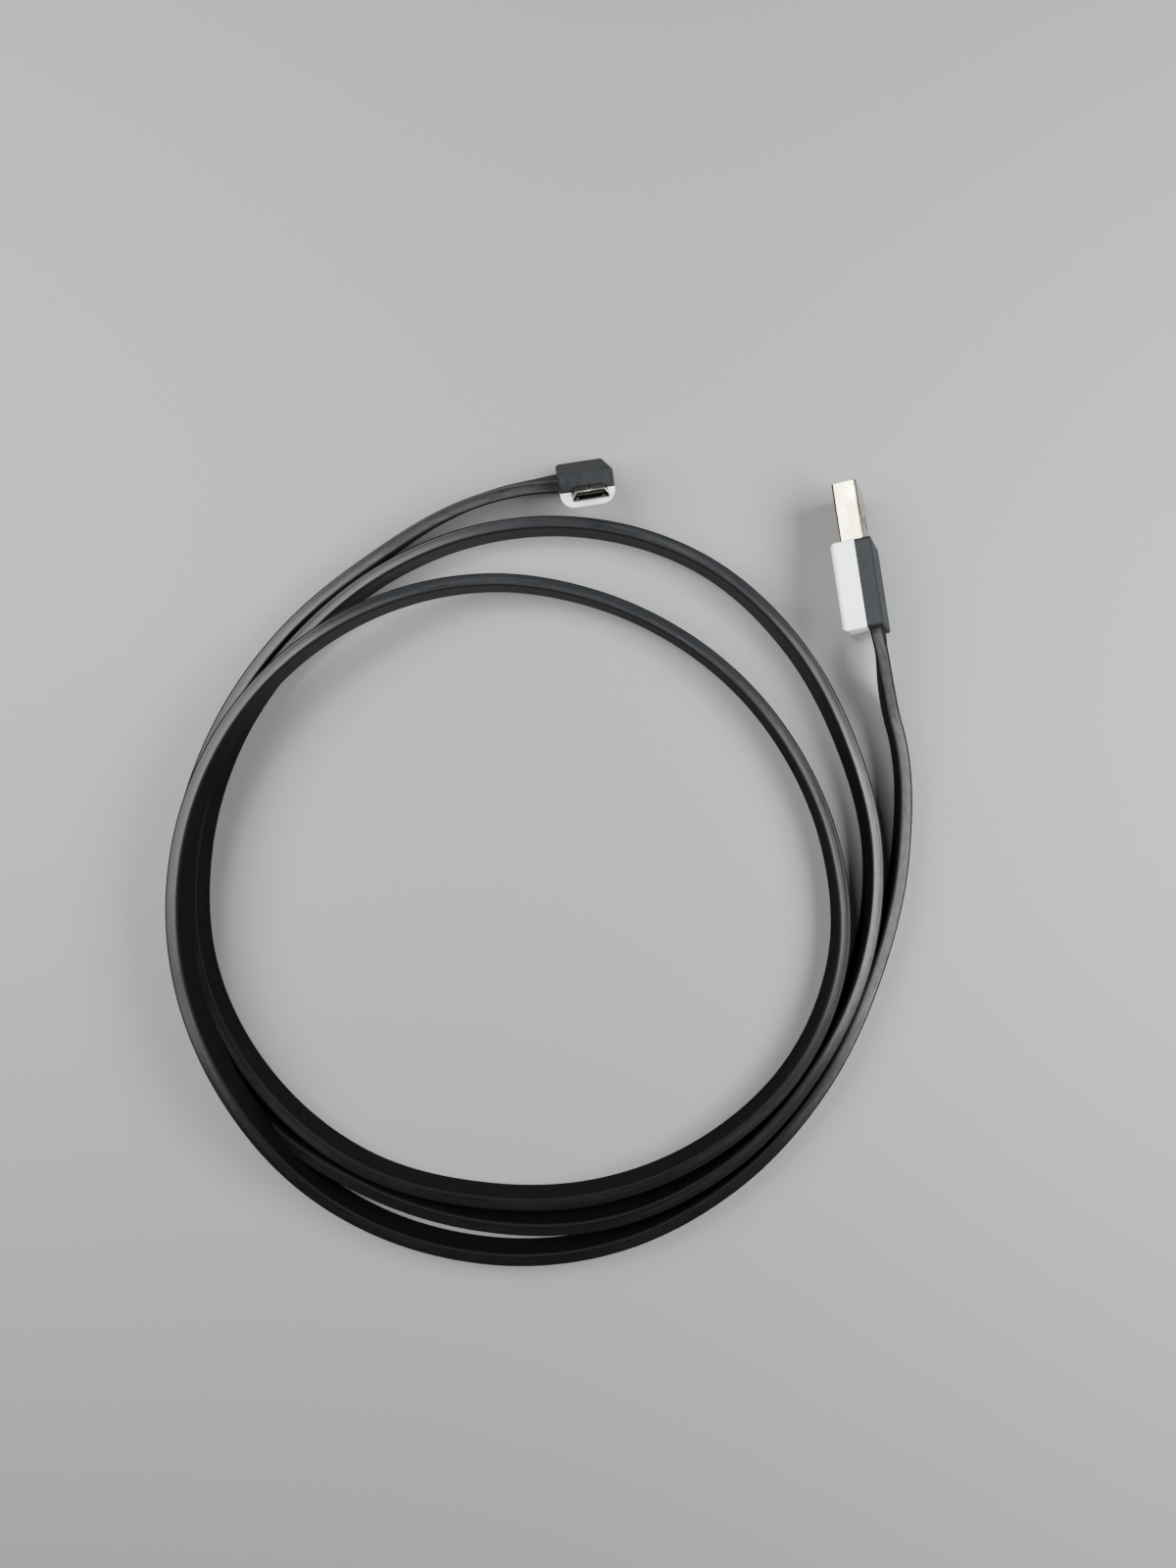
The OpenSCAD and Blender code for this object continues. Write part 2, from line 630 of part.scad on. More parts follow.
module latch(side) {
  color(nickel) at_micro() translate([micro_mid_x + side * latch_x, latch_y, 0]) rotate([90, 0, 90])
    translate([0, 0, -latch_w / 2]) linear_extrude(latch_w)
      polygon([
        [0, latch_root_z], [latch_arm_t, latch_root_z], [latch_arm_t, latch_end_z], [0, latch_end_z],
        [0, latch_hook_z + latch_hook_len],
        [-micro_sheet - fit_gap - latch_proud, latch_hook_z + 0.35],
        [-micro_sheet - fit_gap - latch_proud, latch_hook_z],
        [0, latch_hook_z]
      ]);
}
module micro_left_latch() {
  latch(-1);
}
module micro_right_latch() {
  latch(1);
}

// Wires of the micro-B plug: slot counts the wires across the jacket from the top
micro_pins = [-2, -1, 0, 2];
micro_dip = [2, 2.2, 1.8, 1.4];
function micro_wire_curve(slot) =
  let (
    from = micro_cable_at + [micro_cable_in, 0, (1.5 - slot) * wire_pitch],
    clear = (micro_wire_d + fit_gap) / 2,
    rest_y = slot == 1 ? micro_contact_y + micro_contact_t + clear : micro_contact_y - clear,
    to = [micro_mid_x + micro_pins[slot] * micro_pitch, rest_y, micro_tail_back]
  )
  [from, [(from.x + to.x) / 2, from.y, min(from.z, micro_wire_cross)], to - [0, 0, micro_dip[slot]], to];

module micro_wire(slot, tint) {
  line = micro_wire_curve(slot);
  color(tint) at_micro() wire(line, [line[3].x, line[3].y, micro_shell_back - fit_gap], micro_wire_d);
}
module micro_red_wire() {
  micro_wire(0, "red");
}
module micro_white_wire() {
  micro_wire(1, "white");
}
module micro_green_wire() {
  micro_wire(2, "green");
}
module micro_black_wire() {
  micro_wire(3, [0.1, 0.1, 0.1]);
}

module micro_cable_clamp() {
  color(nickel) at_micro() difference() {
    along_x(micro_clamp_x[0] + fit_gap, micro_clamp_x[1] - fit_gap)
      jacket_outline(micro_cable_at, clamp_t + fit_gap);
    along_x(0, micro_cable_in) jacket_outline(micro_cable_at, fit_gap);
  }
}

module micro_inner_mould() {
  gap = [fit_gap, fit_gap, fit_gap];
  color(mould_plastic) at_micro() difference() {
    block(micro_mould_low + gap, micro_mould_high - gap);
    micro_shell_solid(micro_shell_back - fit_gap, micro_h, -fit_gap);
    along_x(0, micro_cable_in) jacket_outline(micro_cable_at, fit_gap);
    along_x(micro_clamp_x[0], micro_clamp_x[1]) jacket_outline(micro_cable_at, clamp_t + 2 * fit_gap);
    // room for the wires and the solder tails
    block(
      [micro_cable_in, micro_mould_low.y + micro_wall, micro_mould_low.z + micro_wall],
      [micro_mould_high.x - micro_wall, micro_mould_high.y - micro_wall, micro_wire_top + micro_wire_d / 2]
    );
  }
}

cable_jacket();
usb_a_dark_cover();
usb_a_white_cover();
usb_a_inner_mould();
usb_a_cable_clamp();
usb_a_shell();
usb_a_tongue();
usb_a_power_contacts();
usb_a_data_contacts();
usb_a_red_wire();
usb_a_white_wire();
usb_a_green_wire();
usb_a_black_wire();
micro_dark_cover();
micro_white_cover();
micro_inner_mould();
micro_cable_clamp();
micro_shell();
micro_insulator();
micro_contacts();
micro_left_latch();
micro_right_latch();
micro_red_wire();
micro_white_wire();
micro_green_wire();
micro_black_wire();
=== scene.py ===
import math

import bmesh
import bpy
from mathutils import Matrix, Vector


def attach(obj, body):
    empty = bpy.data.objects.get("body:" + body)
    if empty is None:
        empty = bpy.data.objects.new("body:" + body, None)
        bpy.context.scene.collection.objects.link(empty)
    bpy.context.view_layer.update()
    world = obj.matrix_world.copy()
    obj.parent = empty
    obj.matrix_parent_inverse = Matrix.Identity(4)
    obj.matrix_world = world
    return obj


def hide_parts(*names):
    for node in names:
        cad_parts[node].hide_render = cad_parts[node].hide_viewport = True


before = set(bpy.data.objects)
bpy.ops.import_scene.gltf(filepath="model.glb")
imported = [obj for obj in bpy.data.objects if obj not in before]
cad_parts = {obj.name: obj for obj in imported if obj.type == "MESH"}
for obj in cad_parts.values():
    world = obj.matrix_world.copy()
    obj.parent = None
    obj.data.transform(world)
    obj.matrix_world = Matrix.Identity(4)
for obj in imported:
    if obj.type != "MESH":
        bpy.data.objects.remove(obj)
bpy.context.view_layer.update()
mm = 0.001

print("camera")
cameraValues = {
    "place": (8.45 * mm, 13.45 * mm, 223 * mm),  # straight above the loops
    "lens": 26.1,
    "sensorHeight": 36.0,
    "nearest": 10 * mm,
}
bpy.ops.object.camera_add(location=cameraValues["place"], rotation=(0, 0, 0))
camera = bpy.context.active_object
camera.name = "camera"
camera.data.sensor_fit = "VERTICAL"
camera.data.sensor_height = cameraValues["sensorHeight"]
camera.data.lens = cameraValues["lens"]
camera.data.clip_start = cameraValues["nearest"]
bpy.context.scene.camera = camera


def restHeight(thick, rounding, lean):
    # height of a leaning plug's joint line when its rounded white edge touches the floor
    lean = math.radians(lean)
    return (thick - rounding) * math.sin(lean) - rounding * math.cos(lean) + rounding


# How each plug lies: foot of the covers' joint, heading, lean and dip of the nose, in degrees
usbPlug = {
    "foot": (64.35, 42.25),
    "heading": 99,
    "lean": -19.5,
    "pitch": 2,
    "length": 16.5,
    "height": 15.0,
    "whiteThick": 4.4,
    "darkThick": 3.0,
    "whiteRound": 0.9,
    "cableAt": (0, -1.25, 7.5),
    "cableIn": 3.0,
}
microPlug = {
    "foot": (2.5, 72.2),
    "heading": 8.7,
    "lean": 24,
    "pitch": 0,
    "width": 10.2,
    "height": 13.2,
    "whiteThick": 2.9,
    "darkThick": 3.5,
    "whiteRound": 0,
    "cableAt": (0, 0.75, 5.0),
    "cableIn": 2.2,
}


def plugPlacing(plug):
    # matrix from the plug's own axes, in metres, to the part's
    pitch = math.radians(plug["pitch"])
    high = restHeight(plug["whiteThick"], plug["whiteRound"], abs(plug["lean"]))
    if pitch:
        high += plug["length"] * math.sin(pitch) * math.cos(math.radians(plug["lean"]))
    return (
        Matrix.Translation(Vector((*plug["foot"], high)) * mm)
        @ Matrix.Rotation(math.radians(plug["heading"]), 4, "Z")
        @ Matrix.Rotation(math.radians(plug["lean"]), 4, "X")
        @ Matrix.Rotation(pitch, 4, "Y")
    )


usbPlacing = plugPlacing(usbPlug)
microPlacing = plugPlacing(microPlug)

print("cable")
cableValues = {
    "width": 8.0 * mm,
    "thick": 2.35 * mm,
    "edgeRound": 0.38 * mm,
    "dish": 0.045 * mm,  # how far the narrow edges sink in their middle
    "straightRun": 5 * mm,
    "ringsPerStation": 12,
    "endRings": 10,
    # share of a plug's lean that the cable keeps just outside it
    "usbEase": 0.7,
    "microEase": 0.75,
    "cornerSteps": 3,
    # points across the narrow edges and the broad faces, as shares of half their size
    "edgeStrips": (0.5, 0, -0.5),
    "faceStrips": (-0.6, -0.2, 0.2, 0.6),
    "smoothAngle": 40,
}
# Stations of the cable's middle line, clockwise, every stationStep degrees from firstAngle:
# distance from the loops' middle and height in millimetres, lean towards the middle in degrees
loopMiddle = (-0.55 * mm, 0.45 * mm)
firstAngle = 20
stationStep = 20
stations = [
    (71.9, 4.9, 8), (69.2, 4, 6), (67.9, 4, 3), (69.7, 4, 1), (72.9, 4, 0), (76.1, 4, 0),
    (77.6, 4, 0), (77.2, 5.2, 0), (72.1, 12.5, 0), (69.4, 12.5, 0), (66, 12.5, 0), (62.2, 12.5, 0),
    (58.2, 12.2, 0), (54.8, 9.8, 0), (52.1, 6.5, 0), (49.8, 4.6, 0), (49, 4, 0), (49.8, 4, 0),
    (52.1, 4, 0), (56, 4, 0), (60.8, 4, 0), (64, 4, 0), (65.4, 4, 0), (66.3, 4, 0),
    (67.1, 4, 0), (69.05, 4, 0), (69.4, 4, 0), (68.5, 4, 0), (65.7, 4, 0), (63.2, 4, 0),
    (61.3, 4, 0), (61.4, 4, 0), (62.2, 4, 0), (63, 4, 0), (63.4, 4, 0), (62.6, 4, -2),
    (62.25, 4, -2), (63.8, 4, 0), (65.3, 4, 0), (66.9, 4, 0), (69.5, 4, 0), (71.3, 4, 0),
    (71.5, 4, 0), (72.1, 4, 0), (73.4, 4, 0), (71.2, 4, 0), (68.5, 4, 0), (65.7, 4, 0),
    (64, 4, 0), (64.5, 4.6, 9), (68.2, 5.7, 15), (71.5, 6.4, 18),
]


def smoothStation(t):
    # Catmull-Rom curve through the stations, t counts stations
    i = math.floor(t)
    f = t - i
    a, b, c, d = (Vector(stations[max(0, min(len(stations) - 1, i + k))]) for k in (-1, 0, 1, 2))
    squared, cubed = 2 * a - 5 * b + 4 * c - d, 3 * b - a - 3 * c + d
    return 0.5 * (2 * b + (c - a) * f + squared * f * f + cubed * f ** 3)


def loopPoint(t):
    reach, high, lean = smoothStation(t)
    angle = math.radians(firstAngle - stationStep * t)
    high = max(cableValues["width"] / 2, high * mm)
    x = loopMiddle[0] + reach * mm * math.cos(angle)
    y = loopMiddle[1] + reach * mm * math.sin(angle)
    return Vector((x, y, high)), lean


def easeBetween(start, startWay, end, endWay, steps):
    # cubic from start to end that leaves along startWay and arrives along endWay
    span = (end - start).length
    out = []
    for k in range(1, steps):
        f = k / steps
        out.append(
            start * (2 * f ** 3 - 3 * f ** 2 + 1)
            + startWay * span * (f ** 3 - 2 * f ** 2 + f)
            + end * (3 * f ** 2 - 2 * f ** 3)
            + endWay * span * (f ** 3 - f ** 2)
        )
    return out


def cableRoute():
    # centres and leans of all rings, from the USB-A plug to the micro-B plug
    run = Vector((cableValues["straightRun"], 0, 0))
    usbAt = Vector(usbPlug["cableAt"]) * mm
    microAt = Vector(microPlug["cableAt"]) * mm
    usbIn = Vector((usbPlug["cableIn"] * mm, 0, 0))
    microIn = Vector((microPlug["cableIn"] * mm, 0, 0))
    usbWay = -(usbPlacing.to_3x3() @ Vector((1, 0, 0)))
    microWay = microPlacing.to_3x3() @ Vector((1, 0, 0))
    usbLean = -usbPlug["lean"]
    microLean = microPlug["lean"]
    usbEase = cableValues["usbEase"] * usbLean
    microEase = cableValues["microEase"] * microLean
    perStation = cableValues["ringsPerStation"]
    lastStation = len(stations) - 2
    loops = [loopPoint(k / perStation) for k in range(lastStation * perStation + 1)]
    start = usbPlacing @ (usbAt - run)
    end = microPlacing @ (microAt - run)
    firstWay = (loops[1][0] - loops[0][0]).normalized()
    lastWay = (loops[-1][0] - loops[-2][0]).normalized()
    steps = cableValues["endRings"]
    into = easeBetween(start, usbWay, loops[0][0], firstWay, steps)
    outOf = easeBetween(loops[-1][0], lastWay, end, microWay, steps)
    firstLean, lastLean = loops[0][1], loops[-1][1]
    rings = [(usbPlacing @ (usbAt + usbIn), usbLean), (usbPlacing @ usbAt, usbLean), (start, usbEase)]
    rings += [(p, usbEase + (firstLean - usbEase) * (k + 1) / steps) for k, p in enumerate(into)]
    rings += loops
    rings += [(p, lastLean + (microEase - lastLean) * (k + 1) / steps) for k, p in enumerate(outOf)]
    rings += [(end, microEase), (microPlacing @ microAt, microLean)]
    rings.append((microPlacing @ (microAt + microIn), microLean))
    return rings


def cableSection(values):
    # flat faces, round corners and slightly dished narrow edges, anticlockwise from the lower right
    w, t, r = values["width"] / 2, values["thick"] / 2, values["edgeRound"]
    steps = values["cornerSteps"]
    points = []
    for sx, sy, first in ((1, -1, -90), (1, 1, 0), (-1, 1, 90), (-1, -1, 180)):
        for k in range(steps + 1):
            a = math.radians(first + 90 / steps * k)
            points.append([sx * (t - r) + r * math.cos(a), sy * (w - r) + r * math.sin(a)])
        if sx * sy > 0:  # middle of the narrow edge that follows this corner
            side = 1 if sy > 0 else -1
            for x in values["edgeStrips"]:
                points.append([side * x * t, side * (w - values["dish"] * (1 - 2 * x * x))])
        else:  # broad face
            for y in values["faceStrips"]:
                points.append([sx * t, -sy * y * w])
    return points


def makeCable(values):
    rings = cableRoute()
    section = cableSection(values)
    count = len(section)
    line = [p for p, lean in rings]
    mesh = bpy.data.meshes.new("flatCable")
    verts, faces, unrolled = [], [], []
    along = 0.0
    for i, (centre, lean) in enumerate(rings):
        before, after = line[max(0, i - 1)], line[min(len(line) - 1, i + 1)]
        way = (after - before).normalized()
        inward = way.cross(Vector((0, 0, 1))).normalized()
        up = inward.cross(way)
        c, s = math.cos(math.radians(lean)), math.sin(math.radians(lean))
        along += (centre - line[max(0, i - 1)]).length
        for x, y in section:
            verts.append(centre + inward * (y * s - x * c) + up * (y * c + x * s))
            unrolled.append((along, x, y))
    for i in range(len(rings) - 1):
        for k in range(count):
            a, b = i * count + k, i * count + (k + 1) % count
            faces.append((a, b, b + count, a + count))
    faces.append(tuple(reversed(range(count))))
    faces.append(tuple(range((len(rings) - 1) * count, len(rings) * count)))
    mesh.from_pydata(verts, [], faces)
    place = mesh.attributes.new("unrolled", "FLOAT_VECTOR", "POINT")
    for item, value in zip(place.data, unrolled):
        item.vector = value
    cable = bpy.data.objects.new("flatCable", mesh)
    bpy.context.scene.collection.objects.link(cable)
    return cable, line


cable, cableLine = makeCable(cableValues)


def deselectAll():
    bpy.ops.object.select_all(action="DESELECT")


def pick(piece):
    # makes one piece the only selected and active one
    deselectAll()
    piece.select_set(True)
    bpy.context.view_layer.objects.active = piece


def addBox(name, low, high):
    # a cube added at its size and place, in millimetres of the plug's own axes
    deselectAll()
    low, high = Vector(low) * mm, Vector(high) * mm
    bpy.ops.mesh.primitive_cube_add(size=1, location=(low + high) / 2, scale=high - low)
    bpy.ops.object.transform_apply(location=True, rotation=True, scale=True)
    piece = bpy.context.active_object
    piece.name = name
    piece.data.name = name
    return piece


def selectEdges(piece, test):
    # in edit mode: selects the edges whose two ends, in millimetres, pass the test
    bpy.ops.mesh.select_mode(type="EDGE")
    bpy.ops.mesh.select_all(action="DESELECT")
    mesh = bmesh.from_edit_mesh(piece.data)
    for edge in mesh.edges:
        a, b = (v.co / mm for v in edge.verts)
        if test(a, b):
            edge.select_set(True)
    bmesh.update_edit_mesh(piece.data)


def bevelEdges(piece, size, steps, test):
    pick(piece)
    bpy.ops.object.mode_set(mode="EDIT")
    selectEdges(piece, test)
    bpy.ops.mesh.bevel(offset=size * mm, offset_type="OFFSET", segments=steps, affect="EDGES")
    bpy.ops.object.mode_set(mode="OBJECT")


def near(value, place, slack=0.002):
    return abs(value - place) < slack


def onPlane(axis, place):
    # test for edges that lie in the plane axis = place
    return lambda a, b: near(a[axis], place) and near(b[axis], place)


def alongAxis(axis, *others):
    # test for edges that run along axis and pass the other tests
    def test(a, b):
        rest = [k for k in range(3) if k != axis]
        straight = all(near(a[k], b[k]) for k in rest) and not near(a[axis], b[axis])
        return straight and all(t(a, b) for t in others)
    return test


over = 1  # how far a cutter sticks out of what it cuts, in millimetres


def cutAway(piece, cutter):
    # boolean difference, after which the cutter is thrown away
    pick(piece)
    tool = piece.modifiers.new("cut", "BOOLEAN")
    tool.operation = "DIFFERENCE"
    tool.solver = "EXACT"
    tool.object = cutter
    bpy.ops.object.modifier_apply(modifier=tool.name)
    bpy.data.objects.remove(cutter)


def joinAll(pieces):
    deselectAll()
    for piece in pieces:
        piece.select_set(True)
    bpy.context.view_layer.objects.active = pieces[0]
    bpy.ops.object.join()
    return pieces[0]


def softenEdges(piece, width, steps, angle):
    # narrow rounding of every edge that is left sharper than the angle
    pick(piece)
    tool = piece.modifiers.new("soften", "BEVEL")
    tool.width = width * mm
    tool.segments = steps
    tool.limit_method = "ANGLE"
    tool.angle_limit = math.radians(angle)
    bpy.ops.object.modifier_apply(modifier=tool.name)


def markWear(piece, amount, largestRounded=0.03):
    # attributes on rounded edges: rounded is 1 there and 0 on flat faces, worn is amount there;
    # a face counts as rounded when it is smaller than that share of the largest face
    mesh = piece.data
    rounded = mesh.attributes.new("rounded", "FLOAT", "POINT")
    worn = mesh.attributes.new("worn", "FLOAT", "POINT")
    sums = [0.0] * len(mesh.vertices)
    counts = [0] * len(mesh.vertices)
    largest = max(face.area for face in mesh.polygons)
    for face in mesh.polygons:
        small = 1.0 if face.area < largestRounded * largest else 0.0
        for v in face.vertices:
            sums[v] += small
            counts[v] += 1
    for v in range(len(mesh.vertices)):
        rounded.data[v].value = sums[v] / max(1, counts[v])
        worn.data[v].value = amount * rounded.data[v].value


def finishPiece(piece, placing, body, replaced, smoothAngle=32, flatWeight=80):
    # puts a finished piece where its plug lies and hands it to the frame
    pick(piece)
    piece.data.transform(placing)
    bpy.ops.object.shade_smooth_by_angle(angle=math.radians(smoothAngle))
    tool = piece.modifiers.new("flatFaces", "WEIGHTED_NORMAL")
    tool.weight = flatWeight
    tool.keep_sharp = True
    bpy.ops.object.modifier_apply(modifier=tool.name)
    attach(piece, body)
    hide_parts(replaced)


print("USB-A covers")
usbCovers = {
    "wall": 0.9,
    "columnRound": 0.55,
    "whiteEdge": 0.95,
    "darkEdge": 0.38,
    "seamEdge": 0.07,
    "shellWide": 12.0,
    "shellThick": 4.5,
    "shellOffset": 0.4,
    "shellRound": 0.5,
    "shellRoom": 0.08,
    "cableRoom": 0.1,
    "cutEdge": 0.05,
}


def cableCutter(name, plug, depth, grow, behind=2):
    # the cable's section, grown, from behind the plug to depth
    y, z = plug["cableAt"][1:]
    t = cableValues["thick"] / mm / 2 + grow
    w = cableValues["width"] / mm / 2 + grow
    cutter = addBox(name, (-behind, y - t, z - w), (depth, y + t, z + w))
    bevelEdges(cutter, cableValues["edgeRound"] / mm, 4, alongAxis(0))
    return cutter


def usbShellCutter(name, x0, x1, grow):
    v = usbCovers
    mid = usbPlug["height"] / 2
    low = (x0, v["shellOffset"] - v["shellThick"] / 2 - grow, mid - v["shellWide"] / 2 - grow)
    high = (x1, v["shellOffset"] + v["shellThick"] / 2 + grow, mid + v["shellWide"] / 2 + grow)
    cutter = addBox(name, low, high)
    bevelEdges(cutter, v["shellRound"] + grow, 4, alongAxis(0))
    return cutter


def hollowOut(cover, side, low, high, deep, past=0.5):
    # cuts a room between two corners, given as x and z, from past the joint line to deep
    bottom, top = min(-past * side, deep), max(-past * side, deep)
    cutAway(cover, addBox("room", (low[0], bottom, low[1]), (high[0], top, high[1])))


def makeUsbCover(name, side, values, plug):
    # one half of the body: side +1 is the white one, -1 the dark one
    thick = plug["whiteThick"] if side > 0 else plug["darkThick"]
    long, high, wall = plug["length"], plug["height"], values["wall"]
    outer = side * thick
    cover = addBox(name, (0, min(0, outer), 0), (long, max(0, outer), high))
    bevelEdges(cover, values["columnRound"], 4, alongAxis(1))
    bevelEdges(cover, values["whiteEdge"] if side > 0 else values["darkEdge"], 6, onPlane(1, outer))
    bevelEdges(cover, values["seamEdge"], 2, onPlane(1, 0))
    hollowOut(cover, side, (wall, wall), (long - wall, high - wall), side * (thick - wall))
    cutAway(cover, usbShellCutter("shellHole", long - wall - over, long + over, values["shellRoom"]))
    cutAway(cover, cableCutter("cableHole", plug, plug["cableIn"], values["cableRoom"]))
    softenEdges(cover, values["cutEdge"], 2, 50)
    return cover


usbDark = makeUsbCover("usbDarkCover", -1, usbCovers, usbPlug)
usbWhite = makeUsbCover("usbWhiteCover", 1, usbCovers, usbPlug)
for piece, slot, node, wear in (
    (usbDark, "dark_plastic", "usb_a_dark_cover", 0.0),
    (usbWhite, "white_plastic", "usb_a_white_cover", 0.5),
):
    markWear(piece, wear)
    finishPiece(piece, usbPlacing, "cable", node)

print("USB-A shell")
usbShellValues = {
    "sheet": 0.3,
    "out": 11.0,
    "inside": 9.5,
    "window": 2.3,
    "windowBack": 6.4,
    "windowApart": 2.7,
    "windowReach": 4,
    "windowRound": 0.2,
    "seam": 0.1,
    "seamPast": 0.2,
    "sheetEdge": 0.07,
}


def makeUsbShell(values, plug):
    back, front = plug["length"] - values["inside"], plug["length"] + values["out"]
    mid, off = plug["height"] / 2, usbCovers["shellOffset"]
    shell = usbShellCutter("usbShell", back, front, 0)
    shell.data.name = "usbShell"
    cutAway(shell, usbShellCutter("shellRoom", back - over, front + over, -values["sheet"]))
    half, reach = values["window"] / 2, values["windowReach"]
    x = front - values["windowBack"]
    for side in (-1, 1):
        z = mid + side * values["windowApart"]
        window = addBox("window", (x - half, off - reach, z - half), (x + half, off + reach, z + half))
        bevelEdges(window, values["windowRound"], 3, alongAxis(1))
        cutAway(shell, window)
    seam, outer = values["seam"] / 2, off - usbCovers["shellThick"] / 2
    inner = outer + values["sheet"] + values["seamPast"]
    cutAway(shell, addBox("seam", (back - over, outer - over, mid - seam), (front + over, inner, mid + seam)))
    softenEdges(shell, values["sheetEdge"], 3, 40)
    return shell


usbShell = makeUsbShell(usbShellValues, usbPlug)
markWear(usbShell, 0)
finishPiece(usbShell, usbPlacing, "cable", "usb_a_shell", smoothAngle=40)

print("micro-B covers")
microCovers = {
    "wall": 0.8,
    "taper": 0.9,
    "whiteRound": 2.5,
    "darkRound": 0.6,
    "topEdge": 0.3,
    "bottomEdge": 0.4,
    "seamEdge": 0.06,
    "shellWide": 6.85,
    "shellThick": 1.8,
    "shellNarrow": 5.3,
    "shellSide": 0.7,
    "shellOffset": 0.3,
    "shellHoleRound": 0.3,
    "shellRoom": 0.06,
    "cableRoom": 0.08,
    "cutEdge": 0.04,
}
microMid = microPlug["width"] / 2 + microCovers["shellOffset"]


def sliceOff(piece, point, way):
    # cuts off what lies on the side that way points to, and closes the cut
    pick(piece)
    bpy.ops.object.mode_set(mode="EDIT")
    bpy.ops.mesh.select_all(action="SELECT")
    bpy.ops.mesh.bisect(
        plane_co=Vector(point) * mm, plane_no=way, use_fill=True, clear_outer=True, threshold=1e-7
    )
    bpy.ops.object.mode_set(mode="OBJECT")


def microShellBlock(name, z0, z1, grow, rounding):
    # D-shaped block: wide side at -y, slanted corners at +y
    v = microCovers
    wide, thick = v["shellWide"] / 2 + grow, v["shellThick"] / 2 + grow
    block = addBox(name, (microMid - wide, -thick, z0), (microMid + wide, thick, z1))
    slant = Vector((v["shellThick"] - v["shellSide"], (v["shellWide"] - v["shellNarrow"]) / 2)).normalized()
    for side in (-1, 1):
        point = Vector((microMid + side * v["shellNarrow"] / 2, v["shellThick"] / 2, 0))
        way = Vector((side * slant[0], slant[1], 0))
        sliceOff(block, point + way * grow, way)
    if rounding > 0:
        bevelEdges(block, rounding, 4, alongAxis(2))
    return block


def makeMicroCover(name, side, values, plug):
    # one half of the body: side +1 is the dark one, -1 the white one
    thick = plug["darkThick"] if side > 0 else plug["whiteThick"]
    wide, high, wall = plug["width"], plug["height"], values["wall"]
    outer = side * thick
    cover = addBox(name, (0, min(0, outer), 0), (wide, max(0, outer), high))
    lean = Vector((high, 0, -values["taper"])).normalized()
    sliceOff(cover, (wide, 0, high), lean)
    bottomFar = wide - values["taper"]
    rounding = values["darkRound"] if side > 0 else values["whiteRound"]

    def uprights(a, b):
        # the two long edges at the outer face, one of them leaning
        return near(a.y, outer) and near(b.y, outer) and abs(a.z - b.z) > high / 2

    def outlineAt(z):
        # the outline of an end, apart from the joint line
        return lambda a, b: near(a.z, z) and near(b.z, z) and not (near(a.y, 0) and near(b.y, 0))

    bevelEdges(cover, rounding, 8 if side < 0 else 4, uprights)
    bevelEdges(cover, values["topEdge"], 3, outlineAt(high))
    bevelEdges(cover, values["bottomEdge"], 3, outlineAt(0))
    bevelEdges(cover, values["seamEdge"], 2, onPlane(1, 0))
    hollowOut(cover, side, (wall, wall), (bottomFar - wall, high - wall), side * (thick - wall))
    room, rounding = values["shellRoom"], values["shellHoleRound"]
    cutAway(cover, microShellBlock("shellHole", high - wall - over, high + over, room, rounding))
    cutAway(cover, cableCutter("cableHole", plug, plug["cableIn"], values["cableRoom"]))
    softenEdges(cover, values["cutEdge"], 2, 50)
    return cover


microDark = makeMicroCover("microDarkCover", 1, microCovers, microPlug)
microWhite = makeMicroCover("microWhiteCover", -1, microCovers, microPlug)
for piece, slot, node, wear in (
    # the micro-B dark cover's worn amount also gives a painted highlight along its ridges
    (microDark, "dark_plastic", "micro_dark_cover", 0.25),
    (microWhite, "white_plastic", "micro_white_cover", 0.5),
):
    markWear(piece, wear)
    finishPiece(piece, microPlacing, "cable", node)

print("micro-B shell")
microShellValues = {
    "sheet": 0.25,
    "out": 5.2,
    "inside": 5.8,
    "cornerRound": 0.25,
    "innerRound": 0.13,
    "sheetEdge": 0.05,
    "cutPast": 0.05,
    "slotX": 2.45,
    "slotWide": 0.66,
    "slotLow": 15.6,
    "slotHigh": 17.0,
    "seam": 0.1,
    "seamPast": 0.1,
    "tabWide": 0.26,
    "tabApart": 0.3,
    "tabProud": 0.1,
    "tabSunk": 0.05,
    "tabRound": 0.08,
    "tabLow": 15.9,
    "tabHigh": 17.5,
}


def makeMicroShell(values, plug):
    back, front = plug["height"] - values["inside"], plug["height"] + values["out"]
    half, sheet, mid = microCovers["shellThick"] / 2, values["sheet"], microMid
    shell = microShellBlock("microShell", back, front, 0, values["cornerRound"])
    cutAway(shell, microShellBlock("shellRoom", back - over, front + over, -sheet, values["innerRound"]))
    w, inner = values["slotWide"] / 2, sheet + values["cutPast"] - half
    for side in (-1, 1):
        x = mid + side * values["slotX"]
        low, high = (x - w, -half - over, values["slotLow"]), (x + w, inner, values["slotHigh"])
        cutAway(shell, addBox("slot", low, high))
    seam, inner = values["seam"] / 2, half - sheet - values["seamPast"]
    cutAway(shell, addBox("seam", (mid - seam, inner, back - over), (mid + seam, half + over, front + over)))
    softenEdges(shell, values["sheetEdge"], 2, 40)
    tabs = []
    w, top = values["tabWide"] / 2, half + values["tabProud"]
    for side in (-1, 1):
        # small folded lips that lock the seam near the mouth
        x = mid + side * values["tabApart"]
        low = (x - w, half - values["tabSunk"], values["tabLow"])
        tab = addBox("tab", low, (x + w, top, values["tabHigh"]))
        bevelEdges(tab, values["tabRound"], 3, onPlane(1, top))
        tabs.append(tab)
    return joinAll([shell] + tabs)


microShell = makeMicroShell(microShellValues, microPlug)
markWear(microShell, 0)
finishPiece(microShell, microPlacing, "cable", "micro_shell", smoothAngle=40)

print("shared effects")


